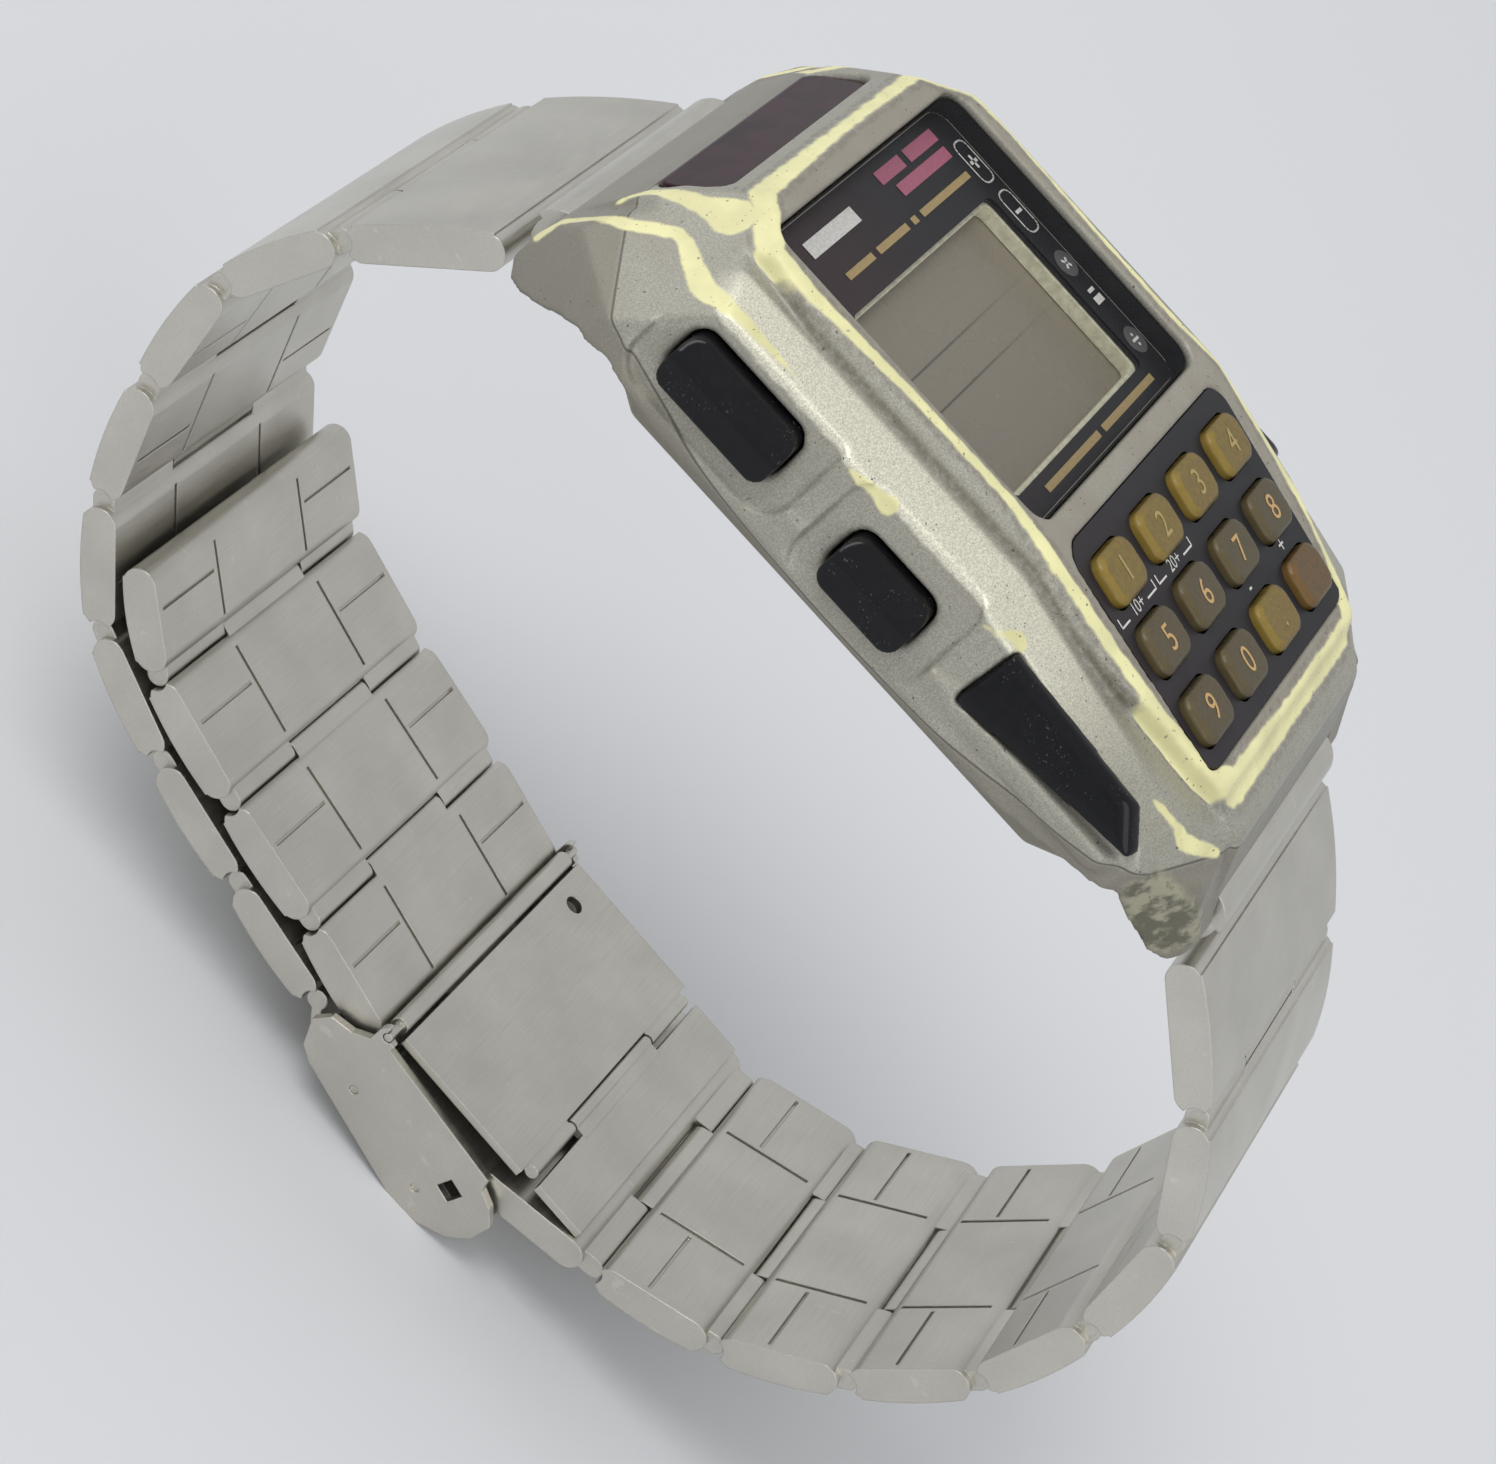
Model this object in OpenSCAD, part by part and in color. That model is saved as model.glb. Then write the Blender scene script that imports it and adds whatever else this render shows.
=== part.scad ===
// Remote control wristwatch with a calculator keypad and a folded steel bracelet.
// Frame: +Z out of the display, +Y towards 12 o'clock, +X towards 3 o'clock.
// Origin: centre of the flat face of the case back. Millimetres.
// Heights are drawn above the lowest line of the lugs, and on_back() sets the part on its case back.

/* [Case] */
// Length of the case over the lug tips
case_len = 45.2; // [44:0.2:48]
// Width of the case across the lower edges of its flanks
case_w = 35.2; // [34:0.2:38]
// Width across the lower edges of the sloping facets
facet_w = 32.4; // [31.4:0.2:33.4]
// Width of the raised bezel at its middle
bezel_w = 26.2; // [25.4:0.2:27.4]
// Height of the glass above the lowest line of the lugs
glass_height = 12.8; // [12.5:0.1:13.2]
// Rise of the bezel ridge above the glass
ridge_rise = 0.3; // [0.1:0.05:0.5]
// Drop from the bezel ridge to the top edge of the facet
facet_drop = 1.2; // [0.8:0.1:1.6]
// Fall of the facet from its top edge to its lower edge
facet_fall = 0.9; // [0.5:0.1:1.3]
// Height of the lower edge of the flanks
flank_low = 4.5; // [4.2:0.1:4.9]
// Height of the flat face of the case back
back_level = 2.4; // [2.2:0.1:2.6]
// Tilt of the keypad towards 6 o'clock, in degrees
keypad_tilt = 11.5; // [9:0.5:13]
// Half width of a lug tip, from the middle plane to its outer face
lug_tip = 11.3; // [10.9:0.1:11.8]
// Width between the two lugs at either end
lug_gap = 18.0; // [17:0.2:19]

/* [Display] */
// Width of the front glass
glass_w = 22.0; // [21:0.2:23]
// Length of the front glass from 12 to 6 o'clock
glass_d = 18.0; // [17:0.2:18.6]
// Thickness of the front glass
glass_t = 1.2; // [0.8:0.1:1.5]
// Distance of the middle of the glass from the origin, towards 12 o'clock
glass_y = 6.0; // [5.6:0.1:6.3]
// Width of the visible display window
lcd_w = 17.7; // [16:0.1:18.5]
// Length of the visible display window
lcd_d = 11.2; // [10:0.1:12]
// What the display's frame adds to the panel, along x
lcd_rim_x = 2.2; // [1.6:0.1:2.8]
// What the display's frame adds to the panel, along y
lcd_rim_y = 1.8; // [1.2:0.1:2.4]
// Distance of the middle of the display from the origin
lcd_y = 4.2; // [3.8:0.1:4.8]

/* [Keypad] */
// Width of a key
key_w = 3.8; // [3.4:0.1:3.9]
// Length of a key
key_d = 2.7; // [2.4:0.1:2.9]
// Distance between key columns
key_pitch_x = 5.3; // [5.1:0.05:5.35]
// Distance between key rows
key_pitch_y = 3.84; // [3.7:0.02:3.9]
// Height of a key above the keypad plate
key_rise = 0.55; // [0.5:0.05:0.9]
// Travel of a key
key_travel = 0.5; // [0.3:0.05:0.6]
// Width of the keypad plate at its upper edge
plate_w = 21.8; // [21.7:0.1:22.4]
// Length of the keypad plate
plate_d = 12.6; // [12.4:0.1:12.8]
// Thickness of the keypad plate
plate_t = 0.5; // [0.4:0.05:0.6]

/* [Side buttons] */
// Travel of a side button
button_travel = 0.7; // [0.4:0.05:0.75]
// Depth of a button cap inside the flank
cap_sunk = 1.35; // [1.2:0.05:1.4]
// Rise of a side button above the flank
button_rise = 1.0; // [0.8:0.05:1.3]
// Height of the large mode button
mode_button_h = 3.6; // [3:0.1:4]
// Height of the other side buttons
button_h = 2.8; // [2.4:0.1:3.2]

/* [Bracelet] */
// Width of the bracelet
band_w = 20.6; // [20:0.1:21.4]
// Distance between the hinge pins of a link
link_pitch = 7.6; // [7.4:0.1:7.8]
// Distance from the spring bar to the next pin at 12 o'clock
end_link_12 = 11.1; // [10.8:0.1:11.6]
// Distance from the spring bar to the next pin at 6 o'clock
end_link_6 = 10.7; // [10.4:0.1:11.2]
// Thickness of a link
link_t = 1.9; // [1.8:0.05:2]
// Crown of the outer face of a link
link_crown = 0.2; // [0.1:0.05:0.25]
// Gap between neighbouring outer plates
link_gap = 0.7; // [0.6:0.05:0.9]
// Diameter of a link pin
pin_d = 0.7; // [0.6:0.05:0.8]
// Diameter of the rolled hinge barrels of a link
barrel_d = 1.24; // [1.2:0.02:1.3]
// Diameter of a spring bar
bar_d = 1.4; // [1.2:0.05:1.5]

/* [Clasp] */
// Thickness of the clasp's sheet steel
sheet_t = 0.5; // [0.4:0.05:0.6]
// Length of the lock plate at the end of the leaf
lock_d = 4.8; // [4.2:0.1:5.4]

/* [Inside] */
// Diameter of the coin cell
cell_d = 20.0; // [19:0.5:21]
// Thickness of the coin cell
cell_t = 2.5; // [2:0.1:2.6]
// Thickness of the case back plate
back_t = 0.9; // [0.7:0.1:1.0]

/* [Fits] */
// Play round a moving key or button
play = 0.12; // [0.1:0.01:0.2]
// Radial running clearance of a hinge pin
run = 0.05; // [0.03:0.01:0.08]
// Gap between pieces that are assembled together
seat = 0.05; // [0.03:0.01:0.1]

/* [Hidden] */
$fn = 48;
far = 60;                                  // longer than anything that it cuts
ridge_z = glass_height + ridge_rise;
facet_top_w = bezel_w + 0.4;
flank_fall = 7.5;                          // ridge to the widest line of the flank
pivot_y = -4.0;                            // crease between display and keypad
roof = 2.6;                                // thickness of the case roof
tip_y = case_len / 2;

// Case cavity, open at the back
cavity_x = case_w / 2 - 4.7;
cavity_y = 16.0;
post_x = 9.4;                              // inner edge of the screw posts
post_y = 12.6;
back_w = 26.4;
back_d = 32.6;
back_r = 5.0;
screw_x = 10.6;
screw_y = 13.8;
screw_r = 0.5;
head_r = 0.95;
head_t = 0.35;

// Spring bars: distance from the middle of the case, and height
bar_12 = [21.6, 2.5];
bar_6 = [21.5, 3.4];
bar_tip_r = 0.42;
bar_len = lug_gap - 0.3;
gap_face = 19.7;                           // case wall between the lugs

// Bracelet: direction of every link, in degrees from the case's long axis
dirs_12 = [-47.7, -68, -95, -107, -127, -156, -165.5, -167.5];
dirs_6 = [-40.6, -54, -80, -98, -121, -138, -160, -170];
dirs_tail = [15.8, 12.4, 16.9, 43];
tail_start = [-1.2, -38.9];
knuckle_w = 8.0;                           // middle tongue of a link
arm_w = 9.8;                               // knuckle that holds the spring bar
end_r = 1.8;                               // outer radius of an end piece
side_gap = 0.15;                           // play between tongue and side barrels
clasp_w = band_w + 1.6;
leaf_z = -37.45;                           // leaf at the pin end
leaf_tilt = 2.3;
catch_size = 1.1;

// Keypad: 12 keys in three rows of four
key_names = ["key_1", "key_2", "key_3", "key_4", "key_5", "key_6", "key_7", "key_8",
             "key_9", "key_0", "key_point", "key_enter"];
key_row_1 = -3.15;                         // first row, measured from the crease
panel_top = -0.1;                          // top of the plate below the ridge plane
flange = 0.25;                             // rims that keep a key under the plate
ledge = 0.25;                              // step under the edge of the keypad plate
plate_taper = 0.5;
flange_t = 0.3;
mat_t = 0.6;

// Side buttons: middle, length and height of each, seen from the side
//   [name, side, y, z, length, height]
buttons = [
    ["button_left_upper", -1, 10.5, 8.6, 6.9, button_h],
    ["button_left_lower", -1, 0.0, 7.8, 5.1, button_h],
    ["button_right_upper", 1, 7.0, 9.0, 5.0, button_h],
    ["button_right_middle", 1, 0.5, 8.8, 5.0, button_h],
    ["button_right_lower", 1, -7.2, 8.2, 5.6, mode_button_h]];
stem_r = 0.6;
stem_tip = cavity_x - 0.95;
clip_r = 1.05;
clip_t = 0.4;

links_12 = [for (i = [1:8]) str("link_12_", i)];
links_6 = [for (i = [1:7]) str("link_6_", i)];
links_tail = [for (i = [1:4]) str("tail_link_", i)];

// Helpers

// A profile drawn in y and z, extruded to a width in x
module along_x(width) rotate([90, 0, 90]) linear_extrude(width, center = true) children();

// A profile drawn in x and z, extruded to a length in y
module along_y(length) rotate([90, 0, 0]) linear_extrude(length, center = true) children();

// A rectangle with round corners
module rrect(w, d, r) {
    square([w - 2 * r, d], center = true);
    square([w, d - 2 * r], center = true);
    for (x = [-1, 1], y = [-1, 1])
        translate([x * (w / 2 - r), y * (d / 2 - r)]) circle(r);
}

module slab(w, d, h, r) linear_extrude(h) rrect(w, d, r);

// The keypad's own frame: its origin is the crease, at the height of the ridge
module on_keypad() translate([0, pivot_y, ridge_z]) rotate([keypad_tilt, 0, 0]) children();

module side_6() mirror([0, 1, 0]) children();

module on_back() translate([0, 0, -back_level]) children();

function turned(a) = [cos(a), sin(a)];
function hinge(start, dirs, first, i) =
    i == 0 ? start : hinge(start, dirs, first, i - 1) + (i == 1 ? first : link_pitch) * turned(dirs[i - 1]);
function hinge_12(i) = hinge(bar_12, dirs_12, end_link_12, i);
function hinge_6(i) = hinge(bar_6, dirs_6, end_link_6, i);
function hinge_tail(i) = hinge(tail_start, dirs_tail, link_pitch, i);

// Half profile of the flanks in x and z, below the ridge plane, down to a depth
module flank_profile(bottom) {
    half = [[facet_top_w / 2, -facet_drop],
            [facet_w / 2, -facet_drop - facet_fall],
            [case_w / 2, -flank_fall],
            bottom ? [case_w / 2 - 0.6, flank_low - ridge_z] : [case_w / 2, -far / 2],
            bottom ? [case_w / 2 - 0.9, -ridge_z] : [case_w / 2, -far / 2 - 1]];
    polygon(concat(half, [for (i = [4:-1:0]) [-half[i][0], half[i][1]]]));
}

// Side view of the flanks and lugs
module flank_side()
    polygon([
        [tip_y - 0.1, 3.6], [tip_y - 0.5, 5.2], [tip_y - 2.0, 7.6], [tip_y - 3.6, 9.8],
        [tip_y - 5.3, 11.4], [tip_y - 6.8, ridge_z], [-tip_y + 4.0, ridge_z],
        [-tip_y + 2.9, 8.6], [-tip_y + 1.2, 5.7], [-tip_y + 0.1, 4.2],
        [-tip_y, 3.0], [-tip_y + 0.4, 2.3], [-tip_y + 1.5, 2.6], [-tip_y + 3.6, 4.3],
        [-tip_y + 5.2, 5.8], [-8.0, flank_low], [3.6, flank_low], [5.0, flank_low + 0.5],
        [12.0, flank_low + 0.5], [tip_y - 6.6, 5.9], [tip_y - 4.8, 5.1], [tip_y - 3.1, 3.3],
        [tip_y - 1.5, 1.7], [tip_y - 0.7, 1.3], [tip_y, 1.8]]);

// Plan view of the flanks, drawn in at the lugs
module flank_plan()
    polygon([
        for (s = [-1, 1]) each [
            [s * lug_tip, s * tip_y], [s * (case_w / 2 - 0.5), s * (tip_y - 6.1)],
            [s * far / 3, s * (tip_y - 11)], [s * far / 3, -s * (tip_y - 11)],
            [s * (case_w / 2 - 0.5), -s * (tip_y - 5.4)], [s * lug_tip, -s * tip_y]]]);

// Side view of the raised bezel, from the end wall at 12 to the one at 6
module bezel_side()
    polygon([
        [tip_y - 0.4, 4.6], [tip_y - 0.6, 5.4], [tip_y - 1.7, 7.7], [tip_y - 3.2, 10.0],
        [tip_y - 5.1, 12.0], [tip_y - 6.3, ridge_z], [bezel_end, ridge_z], [bezel_end, 10.2],
        [bezel_end - 0.5, 9.45], [bezel_end - 2.2, 8.9], [-tip_y + 1.1, 5.85], [-tip_y + 0.4, 4.6]]);

// Plan view of the raised bezel: barrel sides that run in to the width of the end walls
bezel_end = -17.9;                         // where the ridge ends at 6
module bezel_plan() {
    half = [[9.5, tip_y], [10.3, tip_y - 2.0], [bezel_w / 2 - 1.4, tip_y - 5.0], [bezel_w / 2 + 0.1, 10],
            [bezel_w / 2 + 0.25, 2], [bezel_w / 2, -7], [bezel_w / 2 - 0.5, -11],
            [bezel_w / 2 - 1.35, -13.4], [bezel_w / 2 - 1.9, -15.8], [bezel_w / 2 - 2.5, -17.4],
            [9.5, -tip_y]];
    polygon(concat(half, [for (i = [len(half) - 1:-1:0]) [-half[i][0], half[i][1]]]));
}

// Space below the slanted faces that take off the four upper corners
module below_face(at, turn, lean)
    translate(at) rotate([0, 0, turn]) rotate([lean, 0, 0]) translate([-far, -2 * far, -far]) cube(2 * far);

module corner_space()
    intersection_for (s = [-1, 1]) intersection() {
        below_face([s * 9.4, 16.1, ridge_z], -s * 38, 43);
        side_6() below_face([s * 10.9, 17.5, 10.15], -s * 30, 46);
    }

module flanks()
    intersection() {
        translate([0, 0, ridge_z]) along_y(far) flank_profile(true);
        on_keypad() along_y(far * 2) flank_profile(false);
        along_x(far) flank_side();
        linear_extrude(far) flank_plan();
        corner_space();
    }

// The bezel's top edges are rounded off in three steps
module bezel_profile() {
    w = bezel_w / 2;
    half = [[w - 1.1, 0], [w - 0.55, -0.15], [w - 0.15, -0.5], [w, -1.1], [w, -far]];
    polygon(concat(half, [for (i = [4:-1:0]) [-half[i][0], half[i][1]]]));
}

module bezel()
    intersection() {
        along_x(far) bezel_side();
        linear_extrude(far) bezel_plan();
        translate([0, 0, ridge_z]) along_y(far) bezel_profile();
        on_keypad() along_y(far * 2) bezel_profile();
        corner_space();
    }

// Lower part of the case: its underside slopes in to the case back on all sides
foot_z = 6.4;
base_x = 13.8;
base_y = 17.6;
base_corner = 19.2;                        // half width across the corners
module base_slope(low, high)
    along_y(far) polygon([[low, back_level], [high, foot_z], [high, foot_z + 1],
                          [-high, foot_z + 1], [-high, foot_z], [-low, back_level]]);

module case_base()
    intersection() {
        base_slope(base_x, case_w / 2 - 0.2);
        rotate(90) base_slope(base_y, gap_face + 0.7);
        rotate(45) base_slope(base_corner, base_corner + 4.2);
        rotate(-45) base_slope(base_corner, base_corner + 4.2);
    }

// Openings that the case has for what sits in it
module cavity() {
    intersection() {
        union() {
            linear_extrude(ridge_z - roof) {
                square([2 * cavity_x, 2 * post_y], center = true);
                square([2 * post_x, 2 * cavity_y], center = true);
            }
            translate([0, cavity_y + 0.4, 5.5]) cube([17, 4.2, 5.8], center = true);
        }
        on_keypad() translate([0, 0, -far / 2 - roof]) cube(far, center = true);
    }
    translate([0, 0, back_level - 3])
        slab(back_w + 2 * seat, back_d + 2 * seat, back_t + seat + 3, back_r + seat);
    for (x = [-1, 1], y = [-1, 1])
        translate([x * screw_x, y * screw_y, back_level]) cylinder(r = screw_r + 0.02, h = 4.6);
}

module display_opening() {
    translate([0, glass_y, glass_height - glass_t - seat]) slab(glass_w + 2 * seat, glass_d + 2 * seat, far, 1.2 + seat);
    translate([0, glass_y, ridge_z - roof - 1]) slab(glass_w - 1.2, glass_d - 1.2, far, 0.8);
    // Room for the display's frame under the glass
    translate([0, lcd_y, ridge_z - roof - 1])
        slab(lcd_w + lcd_rim_x + 2 * seat, lcd_d + lcd_rim_y + 2 * seat,
             glass_height - glass_t - ridge_z + roof + 1, 0.8);
}

// Outline of the keypad plate, a little narrower towards 6 o'clock
module plate_outline(grow)
    translate([0, -plate_d / 2 - 0.5]) intersection() {
        rrect(plate_w + 2 * grow, plate_d + 2 * grow, 1.5);
        polygon([
            [plate_w / 2 + grow, plate_d / 2 + grow],
            [plate_w / 2 - plate_taper + grow, -plate_d / 2 - grow],
            [-plate_w / 2 + plate_taper - grow, -plate_d / 2 - grow],
            [-plate_w / 2 - grow, plate_d / 2 + grow]]);
    }

module keypad_opening()
    on_keypad() {
        translate([0, 0, panel_top - plate_t - seat]) linear_extrude(far) plate_outline(seat);
        translate([0, 0, -roof - 1]) linear_extrude(far) plate_outline(-ledge);
    }

// The window at 12 o'clock lies on a slope
module on_window() translate([0, tip_y - 3.5, 9.83]) rotate([-42.5, 0, 0]) children();
window_w = 17.6;
window_d = 3.7;
window_t = 0.9;

module window_outline(grow) rrect(window_w + 2 * grow, window_d + 2 * grow, 0.9);

module window_opening()
    on_window() {
        translate([0, 0, -window_t - seat]) linear_extrude(5) window_outline(seat);
        translate([0, 0, -5]) linear_extrude(5) window_outline(-0.6);
    }

// The wedge shaped window in the flank at 9 o'clock
wedge_t = 0.9;
module wedge_outline(grow)
    offset(delta = grow) polygon([[-6.2, 10.5], [-5.9, 7.1], [-16.4, 8.0], [-17.0, 8.5], [-17.0, 9.5], [-16.5, 9.8]]);
module wedge_solid(grow, depth, rise)
    intersection() {
        translate([-case_w / 2, 0, 0]) along_x(8) wedge_outline(grow);
        along_y(far) polygon([
            [-facet_w / 2 - rise + depth, ridge_z - 2.1], [-facet_w / 2 - rise, ridge_z - 2.1],
            [-case_w / 2 - rise, ridge_z - flank_fall], [-case_w / 2 - rise + depth, ridge_z - flank_fall]]);
    }

// Side button, drawn for +X: the cap's face leans like the flank
cap_depth = cap_sunk + button_rise;
function flank_x(z) = facet_w / 2 + (case_w - facet_w) / 2 * (ridge_z - facet_drop - facet_fall - z)
                      / (flank_fall - facet_drop - facet_fall);
function cap_base(z) = flank_x(z) - cap_sunk;

module cap_outline(b, grow)
    translate([b[2], b[3]]) rrect(b[4] + 2 * grow, b[5] + 2 * grow, 0.8 + grow);

module button_cap(b) {
    z = b[3];
    base = cap_base(z);
    intersection() {
        translate([base + cap_depth / 2, 0, 0]) along_x(cap_depth) cap_outline(b, 0);
        along_y(far) polygon([
            [base, z - 4], [flank_x(z - 2) + button_rise - 0.3, z - 4],
            [flank_x(z - b[5] / 2) + button_rise, z - b[5] / 2 + 0.4],
            [flank_x(z + 0.5) + button_rise, z + b[5] / 2 - 0.9],
            [flank_x(z + b[5] / 2) + button_rise - 0.75, z + b[5] / 2], [base, z + 4]]);
    }
}

module button_solid(b) color([0.06, 0.06, 0.07]) {
    z = b[3];
    base = cap_base(z);
    mirror([b[1] < 0 ? 1 : 0, 0, 0]) {
        button_cap(b);
        translate([base, b[2], z]) rotate([0, -90, 0]) cylinder(r = stem_r, h = base - stem_tip);
        translate([cavity_x - seat - clip_t, b[2], z]) rotate([0, 90, 0]) difference() {
            cylinder(r = clip_r, h = clip_t);
            translate([0, 0, -1]) cylinder(r = stem_r + 0.01, h = clip_t + 2);
        }
    }
}

module button_opening(b) {
    z = b[3];
    mirror([b[1] < 0 ? 1 : 0, 0, 0]) {
        translate([cap_base(z) - button_travel - play + far / 4, 0, 0]) along_x(far / 2) cap_outline(b, play);
        translate([cavity_x - 1, b[2], z]) rotate([0, 90, 0]) cylinder(r = stem_r + run, h = 6);
    }
}

// Shallow flat round each button, cut a little into the flank
module button_recess(b) {
    z = b[3];
    mirror([b[1] < 0 ? 1 : 0, 0, 0])
        intersection() {
            translate([case_w / 2, 0, 0]) along_x(6) translate([b[2], z + 0.5]) rrect(b[4] + 3.2, b[5] + 3.4, 1.6);
            along_y(far) polygon([
                [flank_x(12) - 0.35, 12], [flank_x(4) - 0.35, 4], [far, 4], [far, 12]]);
        }
}

module lug_gaps() {
    translate([0, gap_face + 5, 0]) cube([lug_gap, 10, 9.2], center = true);
    translate([0, -gap_face - 5, 0]) cube([lug_gap, 10, 9.2], center = true);
    for (p = [bar_12, [-bar_6[0], bar_6[1]]]) translate([0, p[0], p[1]]) rotate([0, 90, 0]) {
        cylinder(r = bar_tip_r + run, h = lug_gap + 3, center = true);
        cylinder(r = end_r + 0.1, h = lug_gap, center = true);
    }
}

// Case pieces

module case_shell() color("silver") difference() {
    union() {
        flanks();
        bezel();
        case_base();
    }
    cavity();
    display_opening();
    keypad_opening();
    window_opening();
    wedge_solid(seat, wedge_t + seat, 0.2);
    for (b = buttons) {
        button_opening(b);
        button_recess(b);
    }
    lug_gaps();
}

module front_glass() color("dimgray", 0.5)
    translate([0, glass_y, glass_height - glass_t]) slab(glass_w, glass_d, glass_t, 1.2);

// Black printed sheet under the glass, open over the display
module_top = 9.4;
mask_z = glass_height - glass_t - 0.3;
module display_mask() color([0.1, 0.1, 0.1]) difference() {
    translate([0, glass_y, mask_z]) slab(glass_w - 1.4, glass_d - 1.4, 0.2, 0.7);
    translate([0, lcd_y, mask_z - 1]) slab(lcd_w, lcd_d, 2, 0.5);
}

// Pale frame that holds the display under the mask
module lcd_frame() color("lightyellow") difference() {
    translate([0, lcd_y, module_top]) slab(lcd_w + lcd_rim_x, lcd_d + lcd_rim_y, mask_z - module_top - seat, 0.6);
    translate([0, lcd_y, module_top - 1]) slab(lcd_w - 0.4, lcd_d - 0.4, 5, 0.4);
    translate([0, lcd_y, module_top - 1]) slab(lcd_w + 0.8, lcd_d + 0.8, 2.1, 0.4);
}

module lcd_panel() color([0.55, 0.54, 0.5])
    translate([0, lcd_y, module_top + seat]) slab(lcd_w + 0.7, lcd_d + 0.7, 1.0, 0.3);

module infrared_window() color([0.25, 0.1, 0.15])
    on_window() translate([0, 0, -window_t]) linear_extrude(window_t + 0.1) window_outline(0);

module side_window() color([0.05, 0.05, 0.06]) intersection() {
    wedge_solid(0, wedge_t, 0.15);
    translate([0, 0, 0.1]) corner_space();
}

module key_place(i)
    translate([(i % 4 - 1.5) * key_pitch_x, key_row_1 - floor(i / 4) * key_pitch_y, 0]) children();

module keypad_plate() color([0.12, 0.12, 0.13]) on_keypad() difference() {
    translate([0, 0, panel_top - plate_t]) linear_extrude(plate_t) plate_outline(0);
    for (i = [0:11]) key_place(i)
        translate([0, 0, panel_top - plate_t - 1]) slab(key_w + 2 * play, key_d + 2 * play, 3, 0.8 + play);
}

// A key: cap with a stepped crown, and the rim that keeps it under the plate
flange_z = panel_top - plate_t - seat - flange_t;
module key(i) color(i < 4 || i > 9 ? [0.6, 0.48, 0.2] : [0.35, 0.3, 0.2]) on_keypad() key_place(i) {
    translate([0, 0, flange_z]) slab(key_w, key_d + 2 * flange, flange_t, 0.9);
    translate([0, 0, flange_z]) slab(key_w, key_d, panel_top + key_rise - 0.22 - flange_z, 0.8);
    translate([0, 0, panel_top + key_rise - 0.22]) slab(key_w - 0.2, key_d - 0.2, 0.13, 0.75);
    translate([0, 0, panel_top + key_rise - 0.09]) slab(key_w - 0.5, key_d - 0.5, 0.09, 0.65);
}

// Rubber mat with a dome under every key
mat_top = flange_z - key_travel - 0.05;
module key_mat() color([0.75, 0.75, 0.72]) on_keypad() {
    translate([0, 0, mat_top - mat_t]) linear_extrude(mat_t) plate_outline(-0.65);
    translate([0, 0, mat_top - mat_t - 0.9]) linear_extrude(1.0) intersection() {
        plate_outline(-1.6);
        translate([0, -plate_d / 2 - 0.5]) difference() {
            square([far, far], center = true);
            square([2 * key_pitch_x + 5, plate_d - 4.5], center = true);
        }
    }
}

// Module frame: cradle for the coin cell, with notches for the button stems
cell_y = 2.6;
cell_z = back_level + back_t + 0.8;
board_z = cell_z + cell_t + 0.2;
board_t = 0.6;
frame_x = cavity_x - 0.3;
finger_x = cavity_x - 1.9;                 // spring fingers at the buttons

// Outline of the module: clear of the screw posts in the corners
module module_outline(grow)
    translate([0, -0.3]) {
        rrect(2 * frame_x + 2 * grow, 2 * post_y - 1.0 + 2 * grow, 0.8);
        rrect(2 * post_x - 0.3 + 2 * grow, 31 + 2 * grow, 0.8);
    }

module board_outline(grow) rrect(2 * (finger_x - 0.4 + grow), 2 * (post_y - 1.4 + grow), 0.8);

// Opening through frame and plate at 6 o'clock
port_y = -11.5;
port_w = 12;
port_d = 5;
// Infrared diodes in a row behind the window
diode_pitch = 5;
diode_r = 1.1;
diode_y = 16.6;

module module_frame() color([0.3, 0.32, 0.35]) difference() {
    intersection() {
        translate([0, 0, cell_z]) linear_extrude(module_top - seat - cell_z) module_outline(0);
        on_keypad() translate([0, 0, mat_top - mat_t - 0.9 - far / 2 - seat]) cube(far, center = true);
    }
    translate([0, cell_y, cell_z - 1]) cylinder(r = cell_d / 2 + 0.15, h = cell_t + 1.25);
    translate([0, 0, board_z - seat]) linear_extrude(board_t + 2 * seat + 0.3) board_outline(seat);
    translate([0, diode_y - 1.4, board_z + board_t / 2]) cube([2 * diode_pitch + 3, 3, 1.4], center = true);
    for (b = buttons) translate([b[1] * (finger_x + 9.7), b[2], 0]) cube([20, 2.7, far], center = true);
    translate([0, port_y, cell_z - 1]) slab(port_w + 2, port_d, cell_t + 1.25, 1.0);
}

module circuit_board() color([0.1, 0.35, 0.15])
    translate([0, 0, board_z]) linear_extrude(board_t) board_outline(0);

module coin_cell() color([0.8, 0.8, 0.82]) translate([0, cell_y, cell_z]) {
    cylinder(d = cell_d, h = cell_t - 0.3);
    translate([0, 0, cell_t - 0.31]) cylinder(d = cell_d - 2.2, h = 0.31);
}

// Steel plate over the coin cell, with a spring finger at each button
module contact_plate() color([0.75, 0.76, 0.78]) {
    translate([0, 0, cell_z - 0.35]) difference() {
        linear_extrude(0.3) module_outline(-0.2);
        translate([0, port_y, -1]) slab(port_w, port_d, 3, 1.0);
    }
    for (b = buttons) {
        top = b[3] + 0.7;
        translate([b[1] * finger_x, b[2], (cell_z - 0.3 + top) / 2])
            cube([0.25, 2.0, top - cell_z + 0.3], center = true);
    }
}

// Two infrared emitters and one receiver behind the window at 12 o'clock
module infrared_diodes() color([0.35, 0.3, 0.45])
    for (x = [-diode_pitch, 0, diode_pitch]) translate([x, diode_y, board_z + board_t / 2]) {
        rotate([-90, 0, 0]) cylinder(r = diode_r, h = 1.0);
        translate([0, 1.0, 0]) sphere(r = 0.7);
        for (s = [-1, 1]) translate([s * 0.5, -1.05, 0]) cube([0.3, 2.2, 0.3], center = true);
    }

module sound_disc() color("goldenrod") translate([0, cell_y, back_level + back_t]) cylinder(r = 7.5, h = 0.25);

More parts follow.
